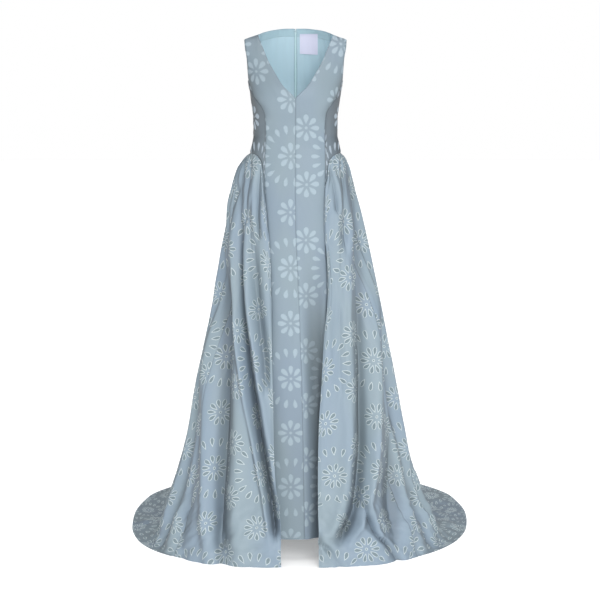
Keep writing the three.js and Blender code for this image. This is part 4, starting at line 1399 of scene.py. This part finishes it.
@dataclass
class Overskirt:
    """The overskirt's gores, with their folds, gathers and crumpled hem.

    span is about how long the hem is on one side, tip_round how far the train's tip is drawn in,
    and hem_rise keeps the cloth's thickness off the floor. The pleats lie between the places of
    pleat_span, and each draws its depth, reach, width and gap from the ranges given.
    """

    rows: int = 204
    span: float = 1600
    tip_round: float = 23
    hem_rise: float = 1.15
    pleat_span: tuple[float, float] = (0.13, 0.985)
    pleat_depth: tuple[float, float] = (3, 7)
    pleat_reach: tuple[float, float] = (110, 460)
    pleat_width: tuple[float, float] = (0.009, 0.016)
    pleat_gap: tuple[float, float] = (0.045, 0.075)
    pleat_lean: float = 4e-5
    gores: tuple[Gore, ...] = (
        Gore("overskirt_front", 0, 0.28, 168, 120),
        Gore("overskirt_side", 0.28, 0.62, 92, 480),
        Gore("overskirt_back", 0.62, 1, 94, 900),
    )

    def gathers(self, side: Side, round_: Array, p: Array) -> Array:
        """Small pleats that start at the hip seam, uneven in depth and length."""
        draw = np.random.default_rng(5 + side.value)
        hip = FORM.hip_seam(side, STATIONS.at("turn", round_))
        drop = hip - p[..., 2]
        total = np.zeros(p.shape[:2])
        calm = mix(0.45, 1, ease((round_ - 0.24) / 0.12))
        at, last = self.pleat_span
        while at < last:
            depth, reach = draw.uniform(*self.pleat_depth), draw.uniform(*self.pleat_reach)
            width = draw.uniform(*self.pleat_width)
            fade = ease(drop / 14) * (1 - ease(drop / reach))
            away = round_ - at - drop * draw.uniform(-self.pleat_lean, self.pleat_lean)
            total += depth * fade * valley(away / width)
            at += draw.uniform(*self.pleat_gap)
        return total * calm

    def cloth(self, side: Side, gore: Gore) -> Cloth:
        """One gore with its folds.

        Args:
            side: the half of the gown.
            gore: which gore it is.

        Returns:
            The cut of cloth.
        """
        across = np.linspace(gore.start, gore.end, gore.columns)
        round_, down = np.meshgrid(across, np.linspace(0, 1, self.rows) ** 1.12)
        p = SKIRT.base(side, round_, down)
        n = SKIRT.normals(side, round_, down)
        z = p[..., 2]
        lying = ease((n[..., 2] - 0.35) / 0.5) * below(z, FLOOR + 300, 100)
        near_hip = below(z, FORM.hip_seam(side, STATIONS.at("turn", round_)), 60)
        folds = SKIRT.main_folds(side, round_, p) * near_hip * (1 - 0.6 * below(z, -1530, 110))
        pleats = self.gathers(side, round_, p)
        # Painted shade in the hollows of the folds and pleats, none where the cloth lies on the
        # floor.
        shade = (0.55 * ease(-folds / 22) + 0.4 * ease(-pleats / 6)) * (1 - lying)
        u = round_ * self.span
        small = smooth_noise(u, z, 130, 21 + side.value, 4) * 2.2
        small = small + smooth_noise(u, z, 46, 31 + side.value, 3) * 0.7
        small = small + self.crumples(side, u, z)
        relief = folds + pleats + small * near_hip * ease((1 - round_) / 0.035)
        if gore.start == 0:
            relief = relief - 6 * np.exp(-((row_lengths(p) / 9) ** 2)) * near_hip
        wave = 0.5 + 0.5 * np.sin(np.linalg.norm(p, axis=-1) * TAU / 170 + 9 * round_)
        p = p + n * (relief * (1 - lying))[..., None]
        rumple = np.abs(smooth_noise(p[..., 0], p[..., 1], 150, 51)) * 9
        p[..., 2] += (11 * wave + rumple) * lying * ease((1 - down) / 0.06)
        seam = seam_mask(p, "end top" if gore.start == 0 else "start end top", 4)
        p = p - n * (seam * (1 - lying) * 1.2)[..., None]
        if gore.end == 1:
            tip = np.clip(1 - np.abs(p[..., 0]) / 180, 0, 1) ** 2
            p[..., 1] -= self.tip_round * tip * lying
        floor = FLOOR + self.hem_rise * np.maximum(n[..., 2], 0)
        p[..., 2] = np.maximum(p[..., 2], floor)
        flat = lay_fan(p, side, gore.middle)
        return Cloth.cut(gore.part, side, p, flat, seam, held=Held.GATHERED, shade=shade)

    def crumples(self, side: Side, u: Array, z: Array) -> Array:
        """Low creases near the floor, where the cloth breaks."""
        level = smooth_noise(u, z * 2.2, 110, 61 + side.value)
        slanted = smooth_noise(u + z * 1.4, z, 70, 67 + side.value)
        return below(z, -1330, 220) * (3.4 * level - 3.0 * np.abs(slanted))

    def build(self, wardrobe: Wardrobe) -> None:
        """Makes every gore on both sides."""
        for side in Side:
            for gore in self.gores:
                self.cloth(side, gore).make(wardrobe.skirt, wardrobe.under)


@dataclass
class InnerBack:
    """What shows through the V neck: facing, lining, label and zip tapes.

    Each face is how far it lies inside the gown's outer surface, sewn_face at a seam. zip_edge is
    how far the lining stays from the zip's middle. label_place is the X of the label's edge and
    how far its top lies below the neck, and label_size its width and drop.
    """

    sewn_face: float = 1.25
    zip_edge: float = 3.4
    lining_face: float = 3.9
    label_face: float = 5.5
    tape_face: float = 2.6
    label_place: tuple[float, float] = (14, 14)
    label_size: tuple[float, float] = (58, 62)
    tape_width: float = 11

    def inset(self, p: Array, depth: Array | float) -> Array:
        """Points moved into the gown from its outer surface."""
        return p - grid_normals(p, np.array([0.0, 1.0, 0.0])) * depth

    def lined(self, side: Side, down: Array, part: str, edges: str) -> Cloth:
        """A lining or facing of the back between two heights.

        Args:
            side: the half of the gown.
            down: its rows, as shares of the back's height.
            part: its node's name without the side.
            edges: its sewn edges.

        Returns:
            The cut of cloth.
        """
        down = down[:, None]
        share = np.linspace(0, 1, 44)[None, :]
        reach = mix(0.68, 0.985, ease((down - 0.06) / 0.3))
        edge = self.zip_edge / mix(SHOULDER_POINT, SIDE_BACK_X, ease(down / 0.5))
        p = FORM.back_cell(side, mix(edge, reach, share), down)
        seam = seam_mask(p, edges, 3)
        soft = smooth_noise(row_lengths(p), p[..., 2], 40, 15 + side.value, 7) * 0.8
        depth = mix(self.sewn_face, self.lining_face, ease((1 - share) / 0.14))
        p = self.inset(p, depth[..., None])
        p[..., 1] -= np.abs(soft) * (1 - seam)
        flat = lay_upright(p, side, 3)
        return Cloth.cut(part, side, p, flat, seam, thickness=0.7, held=Held.HUNG)

    def label(self) -> Cloth:
        """The bare label, sewn along its top and a little bowed below."""
        across, down = np.meshgrid(np.linspace(0, 1, 26), np.linspace(0, 1, 30))
        x = self.label_place[0] + self.label_size[0] * across
        z = BACK_NECK - self.label_place[1] - self.label_size[1] * down - 3 * across * down
        bow = 1.5 * np.sin(math.pi * across) * down + 0.6 * np.sin(TAU * across) * down**2
        p = self.inset(FORM.back_point(Side.RIGHT, x, z), self.label_face)
        p[..., 1] -= bow
        seam = seam_mask(p, "top", 3) * 0.6
        flat = lay_upright(p, Side.RIGHT, 0)
        return Cloth("label_cloth", "label", p, flat, seam, 0.6, Held.HUNG, "label_cloth")

    def tape(self, side: Side) -> Cloth:
        """A zip tape, which runs on below the hip seam."""
        across = np.linspace(0.15, self.tape_width, 9)[None, :]
        z = mix(BACK_NECK, HIP_BACK, np.linspace(0.045, 0.985, 120)[:, None]) + 0 * across
        upper = self.inset(FORM.back_point(side, across, z), self.tape_face)
        fall = np.linspace(0.004, 0.078, 26)[:, None] + 0 * across
        ones = np.ones_like(fall)
        lower = SKIRT.base(side, ones, fall)
        lower = lower - SKIRT.normals(side, ones, fall) * np.array([0, 1, 1]) * self.tape_face
        lower[..., 0] = side.value * across
        p = np.concatenate([upper, lower])
        flat, seam = lay_upright(p, side, 0), seam_mask(p, "start", 1.5)
        name = f"zip_tape_{side.tag}"
        return Cloth(f"{name}_cloth", name, p, flat, seam, 0.6, Held.HUNG, "zip_tape")

    def build(self, wardrobe: Wardrobe) -> None:
        """Makes the facing, lining and tape of each side, and the label."""
        facing = np.linspace(0.003, 0.06, 14)
        lining = mix(0.0615, 1, np.linspace(0, 1, 120) ** 1.1)
        for side in Side:
            for down, part, edges, cloth in (
                (facing, "neck_facing", "bottom", wardrobe.facing),
                (lining, "back_lining", "start", wardrobe.lining),
            ):
                self.lined(side, down, part, edges).make(cloth, cloth)
            self.tape(side).make(wardrobe.tape, wardrobe.tape)
        self.label().make(wardrobe.ribbon, wardrobe.ribbon)


@dataclass
class Fastening:
    """The zip's coil, and the finish of its slider, pull, hook and eye.

    turn is the size of one turn of the coil, which lies a bodice_face inside the bodice's outer
    surface and a skirt_face inside the overskirt's.
    """

    pitch: float = 1.5
    top: float = 9.0
    bottom: float = -470.0
    turn: tuple[float, float, float] = (4.8, 0.9, 1.2)
    turn_round: float = 0.28
    bodice_face: float = 4.4
    skirt_face: float = 4.2
    metal_nodes: tuple[str, ...] = ("zip_slider", "zip_pull", "neck_hook", "neck_eye")

    def tooth(self) -> bpy.types.Object:
        """One turn of the coil, a rounded bar across the zip."""
        bpy.ops.object.select_all(action="DESELECT")
        bpy.ops.mesh.primitive_cube_add(size=1)
        bar = bpy.context.object
        bar.name = "coil_turn"
        bpy.ops.object.mode_set(mode="EDIT")
        bpy.ops.mesh.select_all(action="SELECT")
        bpy.ops.transform.resize(value=[length * MM for length in self.turn])
        bpy.ops.mesh.bevel(offset=self.turn_round * MM, segments=1, affect="EDGES")
        bpy.ops.object.mode_set(mode="OBJECT")
        return bar

    def coil(self, wardrobe: Wardrobe) -> None:
        """Copies the turn down the zip and joins the copies."""
        bar = self.tooth()
        heights = np.arange(self.top, self.bottom, -self.pitch)
        z_body, z_skirt = heights[heights > HIP_BACK], heights[heights <= HIP_BACK]
        body = FORM.point(Side.RIGHT, np.float64(BACK_TURN), z_body)[:, 1] - self.bodice_face
        line = SKIRT.base(Side.RIGHT, np.ones(60), np.linspace(0, 0.1, 60))
        skirt = np.interp(-z_skirt, -line[:, 2], line[:, 1]) - self.skirt_face
        base = np.array([v.co for v in bar.data.vertices])
        faces = [tuple(f.vertices) for f in bar.data.polygons]
        points, polygons = [], []
        for index, (y, z) in enumerate(zip(np.concatenate([body, skirt]), heights)):
            points.append(base + np.array([0, y * MM, z * MM]))
            polygons += [tuple(v + index * len(base) for v in f) for f in faces]
        mesh = bpy.data.meshes.new("zip_coil")
        mesh.from_pydata(np.concatenate(points).tolist(), [], polygons)
        obj = bpy.data.objects.new("zip_coil", mesh)
        bpy.context.collection.objects.link(obj)
        mesh.materials.append(wardrobe.teeth)
        bpy.data.objects.remove(bar)
        finish_mesh(obj, COIL_SMOOTH)
        place(obj, "gown", "zip_tape")
        LOG.info("%s: %d turns", obj.name, len(heights))

    def build(self, wardrobe: Wardrobe, nodes: dict[str, bpy.types.Object]) -> None:
        """Makes the coil and finishes the metal pieces."""
        self.coil(wardrobe)
        for name in self.metal_nodes:
            node = nodes[name]
            node.data.materials.clear()
            node.data.materials.append(wardrobe.enamel)
            LOG.info("%s: %s", name, wardrobe.enamel.name)


@dataclass
class Studio:
    """The pale floor, the soft lights and the camera, in metres and degrees.

    The lens and sensor are in millimetres. Each light has a name, its turns, its strength and its
    spread.
    """

    camera_place: tuple[float, float, float] = (0.01411, -4.73464, -0.29254)
    tilt: float = 6.495
    lens: float = 90
    fill: float = 0.21
    sensor: float = 36
    far: float = 200
    floor_radius: float = 60
    floor_gap: float = 0.0005
    lights: tuple[tuple[str, tuple[float, float, float], float, float], ...] = (
        ("key", (62, 0, 11), 1.56, 30),
        ("front", (80, 0, 10), 0.6, 30),
        ("top", (6, 0, 0), 1.7, 50),
        ("behind", (66, 0, 172), 0.9, 50),
    )

    def world(self) -> bpy.types.World:
        """A low even fill, which the camera sees as white paper."""
        world = bpy.data.worlds.new("studio")
        world.use_nodes = True
        tree = world.node_tree
        path = tree.nodes.new("ShaderNodeLightPath")
        strength = tree.nodes.new("ShaderNodeMapRange")
        strength.inputs["To Min"].default_value = self.fill
        strength.inputs["To Max"].default_value = 1.0
        background = tree.nodes["Background"]
        background.inputs["Color"].default_value = (1, 1, 1, 1)
        tree.links.new(path.outputs["Is Camera Ray"], strength.inputs["Value"])
        tree.links.new(strength.outputs["Result"], background.inputs["Strength"])
        return world

    def floor(self, height: float) -> None:
        """A plain pale floor at a height."""
        bpy.ops.object.select_all(action="DESELECT")
        place_at = (0, 0, height - self.floor_gap)
        bpy.ops.mesh.primitive_circle_add(
            vertices=96, radius=self.floor_radius, fill_type="NGON", location=place_at
        )
        disc = bpy.context.object
        disc.name = "floor"
        bpy.ops.object.transform_apply(location=True, rotation=True, scale=True)
        graph = Graph("floor_paper")
        paper = {
            "Base Color": graph.blend(graph.grain(3.0, 2.0), (0.9, 0.9, 0.9), (0.93, 0.93, 0.93)),
            "Roughness": 0.9,
            "Emission Color": (1, 1, 1, 1),
            "Emission Strength": 0.3,
        }
        disc.data.materials.append(graph.finish(paper))
        disc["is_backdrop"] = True

    def build(self, height: float) -> None:
        """Makes the whole set. The light behind gives the cloth no glare.

        Args:
            height: the floor's height.
        """
        self.floor(height)
        for name, turn, strength, spread in self.lights:
            lamp = bpy.data.lights.new(name, "SUN")
            lamp.energy, lamp.angle = strength, math.radians(spread)
            obj = bpy.data.objects.new(name, lamp)
            obj.rotation_euler = [math.radians(a) for a in turn]
            obj.visible_glossy = name != "behind"
            bpy.context.collection.objects.link(obj)
        scene = bpy.context.scene
        scene.world = self.world()
        scene.view_settings.view_transform = "Standard"
        lens = bpy.data.cameras.new("camera")
        lens.lens, lens.sensor_width, lens.clip_end = self.lens, self.sensor, self.far
        camera = bpy.data.objects.new("camera", lens)
        camera.location = self.camera_place
        camera.rotation_euler = (math.radians(90 - self.tilt), 0, 0)
        bpy.context.collection.objects.link(camera)
        scene.camera = camera


def corners(box: tuple) -> list[list[float]]:
    """A box's lowest and highest corners as plain lists."""
    return [[float(x) for x in corner] for corner in box]


def main() -> None:
    """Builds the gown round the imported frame."""
    logging.basicConfig(level=logging.INFO, format="%(message)s")
    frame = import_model()
    cad_box = corners(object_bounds())
    wardrobe = Wardrobe()
    Bodice().build(wardrobe)
    Column().build(wardrobe)
    Overskirt().build(wardrobe)
    InnerBack().build(wardrobe)
    Fastening().build(wardrobe, frame["nodes"])
    Studio().build(cad_box[0][2])


if __name__ == "__main__":
    main()
